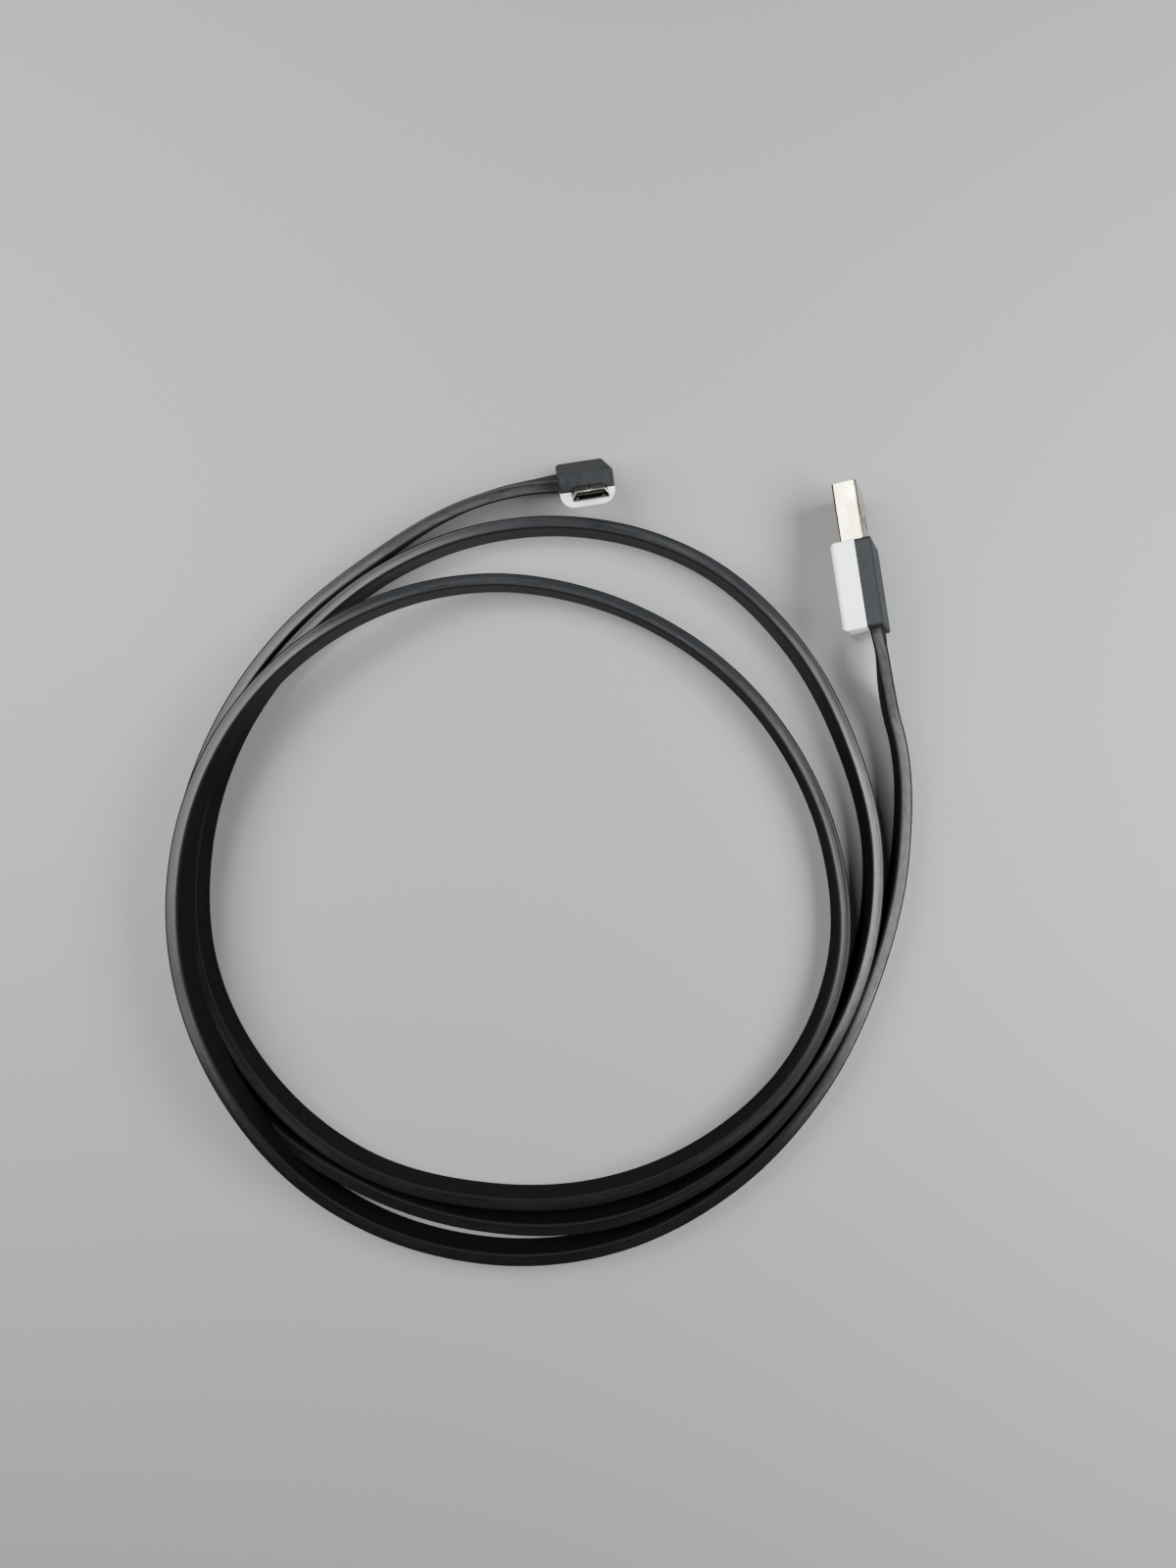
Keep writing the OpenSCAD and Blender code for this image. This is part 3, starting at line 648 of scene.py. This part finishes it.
def newGroup(name, inputs, outputs):
    # node group with named inputs and outputs, returns its tree with both ends
    tree = bpy.data.node_groups.new(name, "ShaderNodeTree")
    for label, kind, value in inputs:
        socket = tree.interface.new_socket(label, in_out="INPUT", socket_type=kind)
        if value is not None:
            socket.default_value = value
    for label, kind in outputs:
        tree.interface.new_socket(label, in_out="OUTPUT", socket_type=kind)
    return tree, tree.nodes.new("NodeGroupInput"), tree.nodes.new("NodeGroupOutput")


def addNode(tree, kind, settings=None, **inputs):
    # node with settings, and inputs that are values or other nodes' outputs; i0 is the first input
    node = tree.nodes.new(kind)
    for key, value in (settings or {}).items():
        setattr(node, key, value)
    for label, value in inputs.items():
        byNumber = label[0] == "i" and label[1:].isdigit()
        socket = node.inputs[int(label[1:]) if byNumber else label.replace("_", " ")]
        if isinstance(value, bpy.types.NodeSocket):
            tree.links.new(value, socket)
        else:
            socket.default_value = value
    return node


def mathOf(tree, operation, *values, clamp=False):
    settings = {"operation": operation, "use_clamp": clamp}
    inputs = {"i" + str(k): value for k, value in enumerate(values)}
    return addNode(tree, "ShaderNodeMath", settings, **inputs).outputs[0]


def timesOf(tree, *factors):
    # product of two or more values
    product = factors[0]
    for factor in factors[1:]:
        product = mathOf(tree, "MULTIPLY", product, factor)
    return product


def rangeOf(tree, value, low, high, outLow=0.0, outHigh=1.0):
    # smooth step from outLow where the value is low to outHigh where it is high
    inputs = {"Value": value, "From_Min": low, "From_Max": high, "To_Min": outLow, "To_Max": outHigh}
    node = addNode(tree, "ShaderNodeMapRange", {"interpolation_type": "SMOOTHSTEP"}, **inputs)
    return node.outputs["Result"]


def noiseOf(tree, vector, scale, detail, roughness):
    inputs = {"Vector": vector, "Scale": scale, "Detail": detail, "Roughness": roughness}
    return addNode(tree, "ShaderNodeTexNoise", **inputs).outputs["Fac"]


def stretchedNoise(tree, vector, stretch, detail, roughness):
    # noise that is drawn out differently along each axis
    settings = {"operation": "MULTIPLY"}
    scaled = addNode(tree, "ShaderNodeVectorMath", settings, i0=vector, i1=stretch).outputs[0]
    return noiseOf(tree, scaled, 1.0, detail, roughness)


def mixColours(tree, factor, first, second):
    return addNode(tree, "ShaderNodeMix", {"data_type": "RGBA"}, i0=factor, i6=first, i7=second).outputs[2]


def mixValues(tree, factor, first, second):
    return addNode(tree, "ShaderNodeMix", {"data_type": "FLOAT"}, i0=factor, i2=first, i3=second).outputs[0]


grainEffect = {
    "fine": (3.0, 0.6),  # detail and roughness
    "coarseScale": 0.3,
    "coarseShare": 0.5,
}


def makeGrainGroup(values):
    # fine matt grain of a spark-eroded mould: height for a bump
    tree, start, end = newGroup(
        "mouldGrain",
        [("Scale", "NodeSocketFloat", 5000.0), ("Vector", "NodeSocketVector", None)],
        [("Height", "NodeSocketFloat")],
    )
    place, scale = start.outputs["Vector"], start.outputs["Scale"]
    fine = noiseOf(tree, place, scale, *values["fine"])
    coarseScale = timesOf(tree, scale, values["coarseScale"])
    cells = addNode(tree, "ShaderNodeTexVoronoi", {"feature": "SMOOTH_F1"}, Vector=place, Scale=coarseScale)
    both = mathOf(tree, "MULTIPLY_ADD", cells.outputs["Distance"], values["coarseShare"], fine)
    tree.links.new(both, end.inputs["Height"])
    return tree


dustEffect = {
    "dots": (2.0, 0.7),  # detail and roughness
    "speck": (0.6, 0.72),
    "cloudScale": 0.12,
    "cloud": (4.0, 0.6),
    "film": (0.35, 0.75),
}


def makeDustGroup(values):
    # sparse specks and a thin uneven film: mask from 0, clean, to 1, dusty
    tree, start, end = newGroup(
        "handlingDust",
        [
            ("Specks", "NodeSocketFloat", 0.5),
            ("Film", "NodeSocketFloat", 0.2),
            ("Scale", "NodeSocketFloat", 1500.0),
            ("Vector", "NodeSocketVector", None),
        ],
        [("Mask", "NodeSocketFloat")],
    )
    place, scale = start.outputs["Vector"], start.outputs["Scale"]
    dots = noiseOf(tree, place, scale, *values["dots"])
    specks = timesOf(tree, rangeOf(tree, dots, *values["speck"]), start.outputs["Specks"])
    cloud = noiseOf(tree, place, timesOf(tree, scale, values["cloudScale"]), *values["cloud"])
    film = timesOf(tree, rangeOf(tree, cloud, *values["film"]), start.outputs["Film"])
    tree.links.new(mathOf(tree, "ADD", specks, film, clamp=True), end.inputs["Mask"])
    return tree


scratchEffect = {
    "lines": ((60.0, 9000.0, 9000.0), 2.0, 0.5),  # stretch, detail and roughness
    "thin": (0.55, 0.7),
}


def makeScratchGroup(values):
    # hairline scratches along the first axis of the vector: mask from 0, smooth, to the amount
    tree, start, end = newGroup(
        "insertionScratches",
        [("Amount", "NodeSocketFloat", 0.5), ("Vector", "NodeSocketVector", None)],
        [("Mask", "NodeSocketFloat")],
    )
    lines = stretchedNoise(tree, start.outputs["Vector"], *values["lines"])
    mask = timesOf(tree, rangeOf(tree, lines, *values["thin"]), start.outputs["Amount"])
    tree.links.new(mask, end.inputs["Mask"])
    return tree


mouldGrain = makeGrainGroup(grainEffect)
handlingDust = makeDustGroup(dustEffect)
insertionScratches = makeScratchGroup(scratchEffect)

print("finishes")


def newFinish(name, constants):
    # material with a Principled shader whose constant sockets are set directly
    material = bpy.data.materials.new(name)
    material.use_nodes = True
    tree = material.node_tree
    shader = tree.nodes["Principled BSDF"]
    for label, value in constants.items():
        shader.inputs[label].default_value = value
    return material, tree, shader


def placeOf(tree):
    return addNode(tree, "ShaderNodeTexCoord").outputs["Object"]


def attributeOf(tree, name, output="Fac"):
    return addNode(tree, "ShaderNodeAttribute", {"attribute_name": name}).outputs[output]


def effectOf(tree, group, output, **inputs):
    return addNode(tree, "ShaderNodeGroup", {"node_tree": group}, **inputs).outputs[output]


def bumpOf(tree, shader, height, distance, strength):
    bump = addNode(tree, "ShaderNodeBump", Strength=strength, Distance=distance)
    tree.links.new(height, bump.inputs["Height"])
    tree.links.new(bump.outputs["Normal"], shader.inputs["Normal"])


# Ranges are low and high, and what the mask is at each where that isn't 0 and 1. Ends and
# stretches are along the cable; edge, middle, corner and ridgeHighlight across and upright are on its
# section, outwards positive; dustFar, faceOutOfShade and edgeShade are on the part's second axis,
# which runs up the frame: faceOutOfShade and edgeShade lay painted shade on the faces and edges
# towards the bottom of the frame, and dustFar thins the edge dust towards its top.
jacketFinish = {
    "constants": {"Specular IOR Level": 0.19, "IOR": 1.5},
    "rubber": (0.0058, 0.0067, 0.008, 1),
    # face: broad faces, partly dust and partly painted bounce light; deep: painted shade they fade to low in
    # the frame
    "face": (0.033, 0.031, 0.028, 1),
    "faceEnd": (0.008, 0.009, 0.0105, 1),
    "deep": (0.0013, 0.0015, 0.0017, 1),
    "worn": (0.033, 0.0335, 0.0335, 1),
    # corner: painted reflection, a dark line where the rounded corners mirror dark surroundings
    "corner": (0.0015, 0.0017, 0.002, 1),
    "handled": (0.09, 0.092, 0.088, 1),
    # paleRidge: painted highlight on a corner ridge
    "paleRidge": (0.09, 0.09, 0.09, 1),
    # faceSheen and edgeSheen: specular tint that dims reflections low in the frame, painted shade
    "faceSheen": (0.3, 0.33, 0.36, 1),
    "edgeSheen": (0.7, 0.73, 0.76, 1),
    "fullSheen": (1, 1, 1, 1),
    "roughFace": 0.9,
    "roughCorner": 0.8,
    "roughClean": 0.28,
    "roughDusty": 0.42,
    "edge": (3.5 * mm, 3.8 * mm),
    "middle": (0.35 * mm, 0.95 * mm, 1.0, 0.0),
    "cornerAcross": (0.72 * mm, 0.92 * mm),
    "cornerUpright": (3.42 * mm, 3.6 * mm),
    "patches": ((48.0, 700.0, 700.0), 4.0, 0.6),  # stretch, detail and roughness
    "streaks": ((520.0, 1700.0, 1700.0), 3.0, 0.6),
    "lines": ((160.0, 3600.0, 3600.0), 2.0, 0.5),
    "lineDepth": 0.000016,
    "lineStrength": 0.5,
    "dustPatches": (0.34, 0.7, 0.1, 1.0),
    "dustStreaks": (0.25, 0.75, 0.5, 1.0),
    "dustAcross": (-0.8 * mm, 0.9 * mm, 1.0, 0.45),
    "dustFar": (30 * mm, 60 * mm, 1.0, 0.65),
    "film": {"Specks": 0.3, "Film": 0.12, "Scale": 1100.0},
    "filmShare": 0.35,
    # faceOutOfShade: painted shade on the broad faces below this range
    "faceOutOfShade": (15 * mm, 62 * mm),
    # edgeShade: painted shade on the narrow edges below this range
    "edgeShade": (-70 * mm, -15 * mm, 1.0, 0.0),
    "edgeShadeShare": 0.85,
    "farEnd": (1.06, 1.13, 1.0, 0.0),
    "nearEnd": (0.01, 0.04),
    # pale from, full from, full to and pale to along the cable in metres, strength,
    # and across it in millimetres where the paleness begins and is full, outwards positive
    "handledStretches": [
        (-0.02, 0.04, 0.062, 0.11, 1.0, -1.0, 0.8),
        (0.82, 0.845, 0.875, 0.9, 1.0, 1.5, -0.7),
        (1.08, 1.13, 1.3, 1.4, 0.25, 1.5, -0.5),
    ],
    "handledLeast": 0.1,
    "handledDust": 0.7,
    "handledPatches": (0.32, 0.6, 0.4, 1.0),
    # where the painted highlight lies on the outer corner ridge near the micro-B plug
    "ridgeHighlightAlong": (1.12, 1.14),
    "ridgeHighlightUpright": (3.55 * mm, 3.72 * mm),
    "ridgeHighlightAcross": (0.8 * mm, 0.95 * mm),
    "ridgeHighlightShare": 0.25,
}


def handledMask(tree, along, across, values):
    # 1 where hands have made the cable's top edge pale
    pale = None
    for begin, full, fading, gone, strength, dark, light in values["handledStretches"]:
        stretch = timesOf(
            tree,
            rangeOf(tree, along, begin, full, 0.0, strength),
            rangeOf(tree, along, fading, gone, 1.0, 0.0),
            rangeOf(tree, across, dark * mm, light * mm, values["handledLeast"], 1.0),
        )
        pale = mathOf(tree, "MAXIMUM", pale, stretch) if pale else stretch
    return pale


def makeJacketFinish(values):
    # satin rubber: matt broad faces, scuffed and dusty narrow edges, a smooth dark line at each corner that
    # is a painted reflection; painted shade on faces and edges towards the bottom of the frame, and a painted
    # highlight on one corner ridge near the micro-B plug
    material, tree, shader = newFinish("satinJacket", values["constants"])
    unrolled = attributeOf(tree, "unrolled", "Vector")
    parts = addNode(tree, "ShaderNodeSeparateXYZ", Vector=unrolled)
    along, across, upright = (parts.outputs[axis] for axis in "XYZ")
    far = addNode(tree, "ShaderNodeSeparateXYZ", Vector=placeOf(tree)).outputs["Y"]
    offMiddle = mathOf(tree, "ABSOLUTE", across)
    offCentre = mathOf(tree, "ABSOLUTE", upright)

    def mask(value, name):
        return rangeOf(tree, value, *values[name])

    onEdge = mask(offCentre, "edge")
    # painted reflection: dark line along each corner of the narrow edges
    corner = timesOf(tree, mask(offMiddle, "cornerAcross"), mask(offCentre, "cornerUpright"))
    patches = stretchedNoise(tree, unrolled, *values["patches"])
    streaks = mask(stretchedNoise(tree, unrolled, *values["streaks"]), "dustStreaks")
    edgeDust = timesOf(tree, onEdge, mask(offMiddle, "middle"), mask(patches, "dustPatches"), streaks)
    edgeDust = timesOf(tree, edgeDust, mask(across, "dustAcross"), mask(far, "dustFar"))
    pale = timesOf(tree, handledMask(tree, along, across, values), onEdge)
    edgeDust = mathOf(tree, "MAXIMUM", edgeDust, timesOf(tree, pale, streaks, values["handledDust"]))
    handled = timesOf(tree, pale, mask(patches, "handledPatches"), streaks)
    film = effectOf(tree, handlingDust, "Mask", Vector=unrolled, **values["film"])
    dust = mathOf(tree, "ADD", edgeDust, timesOf(tree, film, values["filmShare"]), clamp=True)
    # painted shade: broad faces fade to deep towards the bottom of the frame
    faceOutOfShade = mask(far, "faceOutOfShade")
    edgeShade = mask(far, "edgeShade")
    ends = timesOf(tree, mask(along, "farEnd"), mask(along, "nearEnd"))
    # painted highlight: pale line on the outer corner ridge near the micro-B plug
    paleRidge = timesOf(
        tree, mask(along, "ridgeHighlightAlong"), mask(upright, "ridgeHighlightUpright"), mask(across, "ridgeHighlightAcross")
    )

    # face tone, darker and bluer near both plugs: partly dust and partly painted bounce light
    faceDustAndBounceLight = mixColours(tree, ends, values["faceEnd"], values["face"])
    face = mixColours(tree, faceOutOfShade, values["deep"], faceDustAndBounceLight)
    tone = mixColours(tree, onEdge, face, values["rubber"])
    tone = mixColours(tree, dust, tone, values["worn"])
    # painted shade: narrow edges darken to deep towards the bottom of the frame
    tone = mixColours(tree, timesOf(tree, edgeShade, values["edgeShadeShare"]), tone, values["deep"])
    tone = mixColours(tree, handled, tone, values["handled"])
    tone = mixColours(tree, corner, tone, values["corner"])
    tone = mixColours(tree, timesOf(tree, paleRidge, values["ridgeHighlightShare"]), tone, values["paleRidge"])
    tree.links.new(tone, shader.inputs["Base Color"])
    # specular tint lowered on faces and edges low in the frame: painted shade on reflections
    sheen = mixColours(tree, faceOutOfShade, values["faceSheen"], values["fullSheen"])
    sheen = mixColours(tree, onEdge, sheen, values["fullSheen"])
    sheen = mixColours(tree, timesOf(tree, edgeShade, onEdge), sheen, values["edgeSheen"])
    tree.links.new(sheen, shader.inputs["Specular Tint"])
    rough = mixValues(tree, dust, values["roughClean"], values["roughDusty"])
    rough = mixValues(tree, onEdge, values["roughFace"], rough)
    rough = mixValues(tree, corner, rough, values["roughCorner"])
    tree.links.new(rough, shader.inputs["Roughness"])
    lines = timesOf(tree, stretchedNoise(tree, unrolled, *values["lines"]), onEdge)
    bumpOf(tree, shader, lines, values["lineDepth"], values["lineStrength"])
    return material


charcoal = {
    "constants": {"Specular IOR Level": 0.08, "IOR": 1.47},
    "dust": (0.1, 0.1, 0.099, 1),
    # rounded: darker tone of rounded edges, partly polish and partly painted dark reflection
    "rounded": (0.004, 0.0045, 0.005, 1),
    # worn: paler edges, partly wear and on the micro-B cover partly painted highlight along its ridges
    "worn": (0.06, 0.061, 0.062, 1),
    "uneven": (900.0, 5.0, 0.7),  # scale, detail and roughness
    "tones": (0.3, 0.7),
    "film": 0.1,
    "dustScale": 3200.0,
    "dustShare": 0.4,
    "roundedShare": 0.75,
    "wornPatches": (0.35, 0.65, 0.2, 0.6),
    "roughFlat": (0.2, 0.8, 0.54, 0.66),
    "roughRounded": 0.58,
    "grain": 6500.0,
    "grainDepth": 0.00003,
    "grainStrength": 0.8,
}
usbCharcoal = {
    "name": "usbCharcoal",
    "low": (0.036, 0.04, 0.043, 1),
    "high": (0.045, 0.0495, 0.053, 1),
    "specks": 0.4,
    **charcoal,
}
microCharcoal = {
    "name": "microCharcoal",
    "low": (0.0165, 0.0186, 0.0203, 1),
    "high": (0.0222, 0.0248, 0.0268, 1),
    "specks": 0.8,
    **charcoal,
}


def makeDarkFinish(values):
    # charcoal moulded plastic: fine grain and specks on its faces; rounded edges smoother and darker, the
    # darkening partly polish and partly a painted dark reflection, and paler where worn, which on the micro-B
    # cover is partly a painted highlight along its ridges
    material, tree, shader = newFinish(values["name"], values["constants"])
    place, worn, rounded = placeOf(tree), attributeOf(tree, "worn"), attributeOf(tree, "rounded")
    uneven = noiseOf(tree, place, *values["uneven"])
    specks, film, scale = values["specks"], values["film"], values["dustScale"]
    dust = effectOf(tree, handlingDust, "Mask", Specks=specks, Film=film, Scale=scale, Vector=place)
    tone = mixColours(tree, rangeOf(tree, uneven, *values["tones"]), values["low"], values["high"])
    tone = mixColours(tree, timesOf(tree, dust, values["dustShare"]), tone, values["dust"])
    # rounded edges darkened: partly polish, partly painted dark reflection
    tone = mixColours(tree, timesOf(tree, rounded, values["roundedShare"]), tone, values["rounded"])
    # paler worn edges; on the micro-B cover partly a painted highlight along its ridges
    paleRidge = timesOf(tree, worn, rangeOf(tree, uneven, *values["wornPatches"]))
    tone = mixColours(tree, paleRidge, tone, values["worn"])
    tree.links.new(tone, shader.inputs["Base Color"])
    rough = mixValues(tree, rounded, rangeOf(tree, uneven, *values["roughFlat"]), values["roughRounded"])
    tree.links.new(rough, shader.inputs["Roughness"])
    grain = effectOf(tree, mouldGrain, "Height", Scale=values["grain"], Vector=place)
    bumpOf(tree, shader, grain, values["grainDepth"], values["grainStrength"])
    return material


whiteFinish = {
    "constants": {
        "Specular IOR Level": 0.5,
        "IOR": 1.49,
        "Subsurface Weight": 0.12,
        "Subsurface Scale": 0.0008,
    },
    "low": (0.87, 0.895, 0.905, 1),
    "high": (0.9, 0.92, 0.925, 1),
    "worn": (0.6, 0.6, 0.58, 1),
    "dust": (0.55, 0.54, 0.52, 1),
    "uneven": (350.0, 4.0, 0.6),  # scale, detail and roughness
    "tones": (0.3, 0.7),
    "film": {"Specks": 0.18, "Film": 0.2, "Scale": 1800.0},
    "wornShare": 0.18,
    "dustShare": 0.3,
    "rough": (0.2, 0.8, 0.26, 0.38),
    "grain": 3500.0,
    "grainDepth": 0.00001,
    "grainStrength": 0.5,
}


def makeWhiteFinish(values):
    # bright moulded plastic, faintly greyed along its edges
    material, tree, shader = newFinish("whitePlastic", values["constants"])
    place, worn = placeOf(tree), attributeOf(tree, "worn")
    uneven = noiseOf(tree, place, *values["uneven"])
    dust = effectOf(tree, handlingDust, "Mask", Vector=place, **values["film"])
    tone = mixColours(tree, rangeOf(tree, uneven, *values["tones"]), values["low"], values["high"])
    tone = mixColours(tree, timesOf(tree, worn, values["wornShare"]), tone, values["worn"])
    tone = mixColours(tree, timesOf(tree, dust, values["dustShare"]), tone, values["dust"])
    tree.links.new(tone, shader.inputs["Base Color"])
    tree.links.new(rangeOf(tree, uneven, *values["rough"]), shader.inputs["Roughness"])
    grain = effectOf(tree, mouldGrain, "Height", Scale=values["grain"], Vector=place)
    bumpOf(tree, shader, grain, values["grainDepth"], values["grainStrength"])
    return material


def turnOf(placing):
    # mapping rotation that brings the part's axes back to a plug's own
    return placing.to_3x3().inverted().to_euler("XYZ")


plating = {
    "constants": {"Metallic": 1.0},
    "cloud": (260.0, 4.0, 0.55),  # scale, detail and roughness
    "tones": (0.35, 0.7),
    # paintedEdgeReflection: where the painted reflection on rounded edges shows
    "paintedEdgeReflection": (0.3, 0.6, 0.75, 1.0),
    "scratches": 0.18,
    "scratchRough": 0.2,
    "roughFrom": 0.2,
    "roughTo": 0.8,
    "roughSpan": 0.08,
    "scratchDepth": -0.000004,
    "scratchStrength": 0.4,
}
# lit copy of the nickel plate: painted light, far brighter than the micro-B shell's; edge is a painted dark
# reflection
usbPlatingLit = {
    "name": "nickelPlateLit",
    "clean": (0.95, 0.86, 0.56, 1),
    "tarnish": (0.93, 0.82, 0.5, 1),
    "edge": (0.1, 0.085, 0.06, 1),
    "rough": 0.17,
    "turn": turnOf(usbPlacing),
    **plating,
}
# shaded copy of the same nickel plate: painted shade, far darker than the USB-A shell's; edge is a painted
# pale rim highlight
microPlatingShaded = {
    "name": "microNickelPlateShaded",
    "clean": (0.13, 0.118, 0.1, 1),
    "tarnish": (0.07, 0.062, 0.052, 1),
    "edge": (0.24, 0.22, 0.19, 1),
    "rough": 0.3,
    "turn": (0, math.radians(90), 0),
    **plating,
}


def makeMetalFinish(values):
    # plated sheet: cloudy tone, hairline scratches along the way it is pushed in, and a painted reflection on
    # its rounded edges, dark lines on the USB-A shell and pale rims on the micro-B shell
    material, tree, shader = newFinish(values["name"], values["constants"])
    mapping = addNode(tree, "ShaderNodeMapping", Vector=placeOf(tree), Rotation=values["turn"])
    turned = mapping.outputs["Vector"]
    cloud = noiseOf(tree, turned, *values["cloud"])
    scratches = effectOf(tree, insertionScratches, "Mask", Amount=values["scratches"], Vector=turned)
    tone = mixColours(tree, rangeOf(tree, cloud, *values["tones"]), values["clean"], values["tarnish"])
    # painted reflection on rounded edges: dark on the USB-A shell, pale rims on the micro-B shell
    paintedEdgeReflection = timesOf(tree, attributeOf(tree, "rounded"), rangeOf(tree, cloud, *values["paintedEdgeReflection"]))
    tone = mixColours(tree, paintedEdgeReflection, tone, values["edge"])
    tree.links.new(tone, shader.inputs["Base Color"])
    smooth, uneven = values["rough"], values["rough"] + values["roughSpan"]
    rough = rangeOf(tree, cloud, values["roughFrom"], values["roughTo"], smooth, uneven)
    rough = mathOf(tree, "MULTIPLY_ADD", scratches, values["scratchRough"], rough, clamp=True)
    tree.links.new(rough, shader.inputs["Roughness"])
    bumpOf(tree, shader, scratches, values["scratchDepth"], values["scratchStrength"])
    return material


plainLook = {
    "uneven": (4.0, 0.6),  # detail and roughness
    "tones": (0.3, 0.7),
    "roughFrom": 0.2,
    "roughTo": 0.8,
    "roughSpan": 0.12,
    "grain": 4000.0,
    "grainDepth": 0.000008,
    "grainStrength": 0.5,
}
# Two tones, scale of their unevenness, roughness, metallic and specular level
plainFinishes = {
    "springSteel": ((0.26, 0.25, 0.23, 1), (0.17, 0.16, 0.15, 1), 600.0, 0.35, 1.0, 0.4),
    "contactGold": ((0.86, 0.66, 0.3, 1), (0.74, 0.55, 0.25, 1), 900.0, 0.22, 1.0, 0.4),
    "blackInsulator": ((0.007, 0.007, 0.0075, 1), (0.012, 0.012, 0.013, 1), 900.0, 0.6, 0.0, 0.12),
    "naturalMould": ((0.68, 0.66, 0.58, 1), (0.76, 0.74, 0.67, 1), 500.0, 0.45, 0.0, 0.4),
    "redInsulation": ((0.5, 0.02, 0.02, 1), (0.62, 0.04, 0.03, 1), 800.0, 0.35, 0.0, 0.4),
    "whiteInsulation": ((0.78, 0.78, 0.77, 1), (0.86, 0.86, 0.85, 1), 800.0, 0.35, 0.0, 0.4),
    "greenInsulation": ((0.02, 0.3, 0.08, 1), (0.04, 0.4, 0.12, 1), 800.0, 0.35, 0.0, 0.4),
    "blackInsulation": ((0.012, 0.012, 0.013, 1), (0.022, 0.022, 0.024, 1), 800.0, 0.35, 0.0, 0.4),
}
nodeFinishes = {
    "usb_a_inner_mould": "naturalMould",
    "micro_inner_mould": "naturalMould",
    "usb_a_cable_clamp": "springSteel",
    "micro_cable_clamp": "springSteel",
    "usb_a_tongue": "blackInsulator",
    "micro_insulator": "blackInsulator",
    "usb_a_power_contacts": "contactGold",
    "usb_a_data_contacts": "contactGold",
    "micro_contacts": "contactGold",
    "micro_left_latch": "springSteel",
    "micro_right_latch": "springSteel",
}
for colour in ("red", "white", "green", "black"):
    for begin in ("usb_a_", "micro_"):
        nodeFinishes[begin + colour + "_wire"] = colour + "Insulation"


def makePlainFinish(name, first, second, scale, rough, metallic, gloss):
    # small or inner pieces: two near tones, uneven gloss and a light grain
    look = plainLook
    material, tree, shader = newFinish(name, {"Metallic": metallic, "Specular IOR Level": gloss})
    place = placeOf(tree)
    uneven = noiseOf(tree, place, scale, *look["uneven"])
    tone = mixColours(tree, rangeOf(tree, uneven, *look["tones"]), first, second)
    tree.links.new(tone, shader.inputs["Base Color"])
    roughness = rangeOf(tree, uneven, look["roughFrom"], look["roughTo"], rough, rough + look["roughSpan"])
    tree.links.new(roughness, shader.inputs["Roughness"])
    grain = effectOf(tree, mouldGrain, "Height", Scale=look["grain"], Vector=place)
    bumpOf(tree, shader, grain, look["grainDepth"], look["grainStrength"])
    return material


def setFinish(piece, material):
    piece.data.materials.clear()
    piece.data.materials.append(material)


setFinish(cable, makeJacketFinish(jacketFinish))
setFinish(usbDark, makeDarkFinish(usbCharcoal))
setFinish(microDark, makeDarkFinish(microCharcoal))
whiteMaterial = makeWhiteFinish(whiteFinish)
setFinish(usbWhite, whiteMaterial)
setFinish(microWhite, whiteMaterial)
setFinish(usbShell, makeMetalFinish(usbPlatingLit))
setFinish(microShell, makeMetalFinish(microPlatingShaded))
plainMaterials = {name: makePlainFinish(name, *values) for name, values in plainFinishes.items()}
for node, name in nodeFinishes.items():
    setFinish(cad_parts[node], plainMaterials[name])

print("cable on its plugs")
pick(cable)
bpy.ops.object.shade_smooth_by_angle(angle=math.radians(cableValues["smoothAngle"]))
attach(cable, "cable")
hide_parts("cable_jacket")
cableLength = sum((b - a).length for a, b in zip(cableLine, cableLine[1:]))
microPieces = [microDark, microWhite, microShell]
microPieces += [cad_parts[n] for n in nodeFinishes if n.startswith("micro_")]
print("cable length", round(cableLength, 4))

print("floor and light")
studio = {
    "floor": 1.6,
    "floorTone": (0.185, 0.19, 0.19, 1),
    "floorConstants": {"Roughness": 0.6, "Specular IOR Level": 0.3},
    "worldTone": (0.9, 0.95, 1.0, 1),
    "worldStrength": 0.17,
    "lights": [
        # name, place, aim, width, depth, power
        ("leftSoft", (-0.235, 0.09, 0.3), (-0.235, 0.09, 0), 0.25, 0.3, 3.5),
        ("rightSoft", (0.285, 0.03, 0.3), (0.285, 0.03, 0), 0.27, 0.28, 5.3),
        ("shellSoft", (-0.135, 0.172, 0.42), (-0.135, 0.172, 0), 0.08, 0.07, 0.85),
    ],
}
deselectAll()
bpy.ops.mesh.primitive_plane_add(size=studio["floor"], location=(0, 0, 0))
floor = bpy.context.active_object
floor.name = "floor"
material, tree, shader = newFinish("paleFloor", studio["floorConstants"])
shader.inputs["Base Color"].default_value = studio["floorTone"]
setFinish(floor, material)
world = bpy.data.worlds.new("studioAir")
world.use_nodes = True
world.node_tree.nodes["Background"].inputs["Color"].default_value = studio["worldTone"]
world.node_tree.nodes["Background"].inputs["Strength"].default_value = studio["worldStrength"]
bpy.context.scene.world = world
for name, place, aim, width, depth, power in studio["lights"]:
    deselectAll()
    turn = (Vector(aim) - Vector(place)).to_track_quat("-Z", "Y").to_euler()
    bpy.ops.object.light_add(type="AREA", radius=width, location=place, rotation=turn)
    light = bpy.context.active_object
    light.name = name
    light.data.shape = "RECTANGLE"
    light.data.size = width
    light.data.size_y = depth
    light.data.energy = power

print("done")
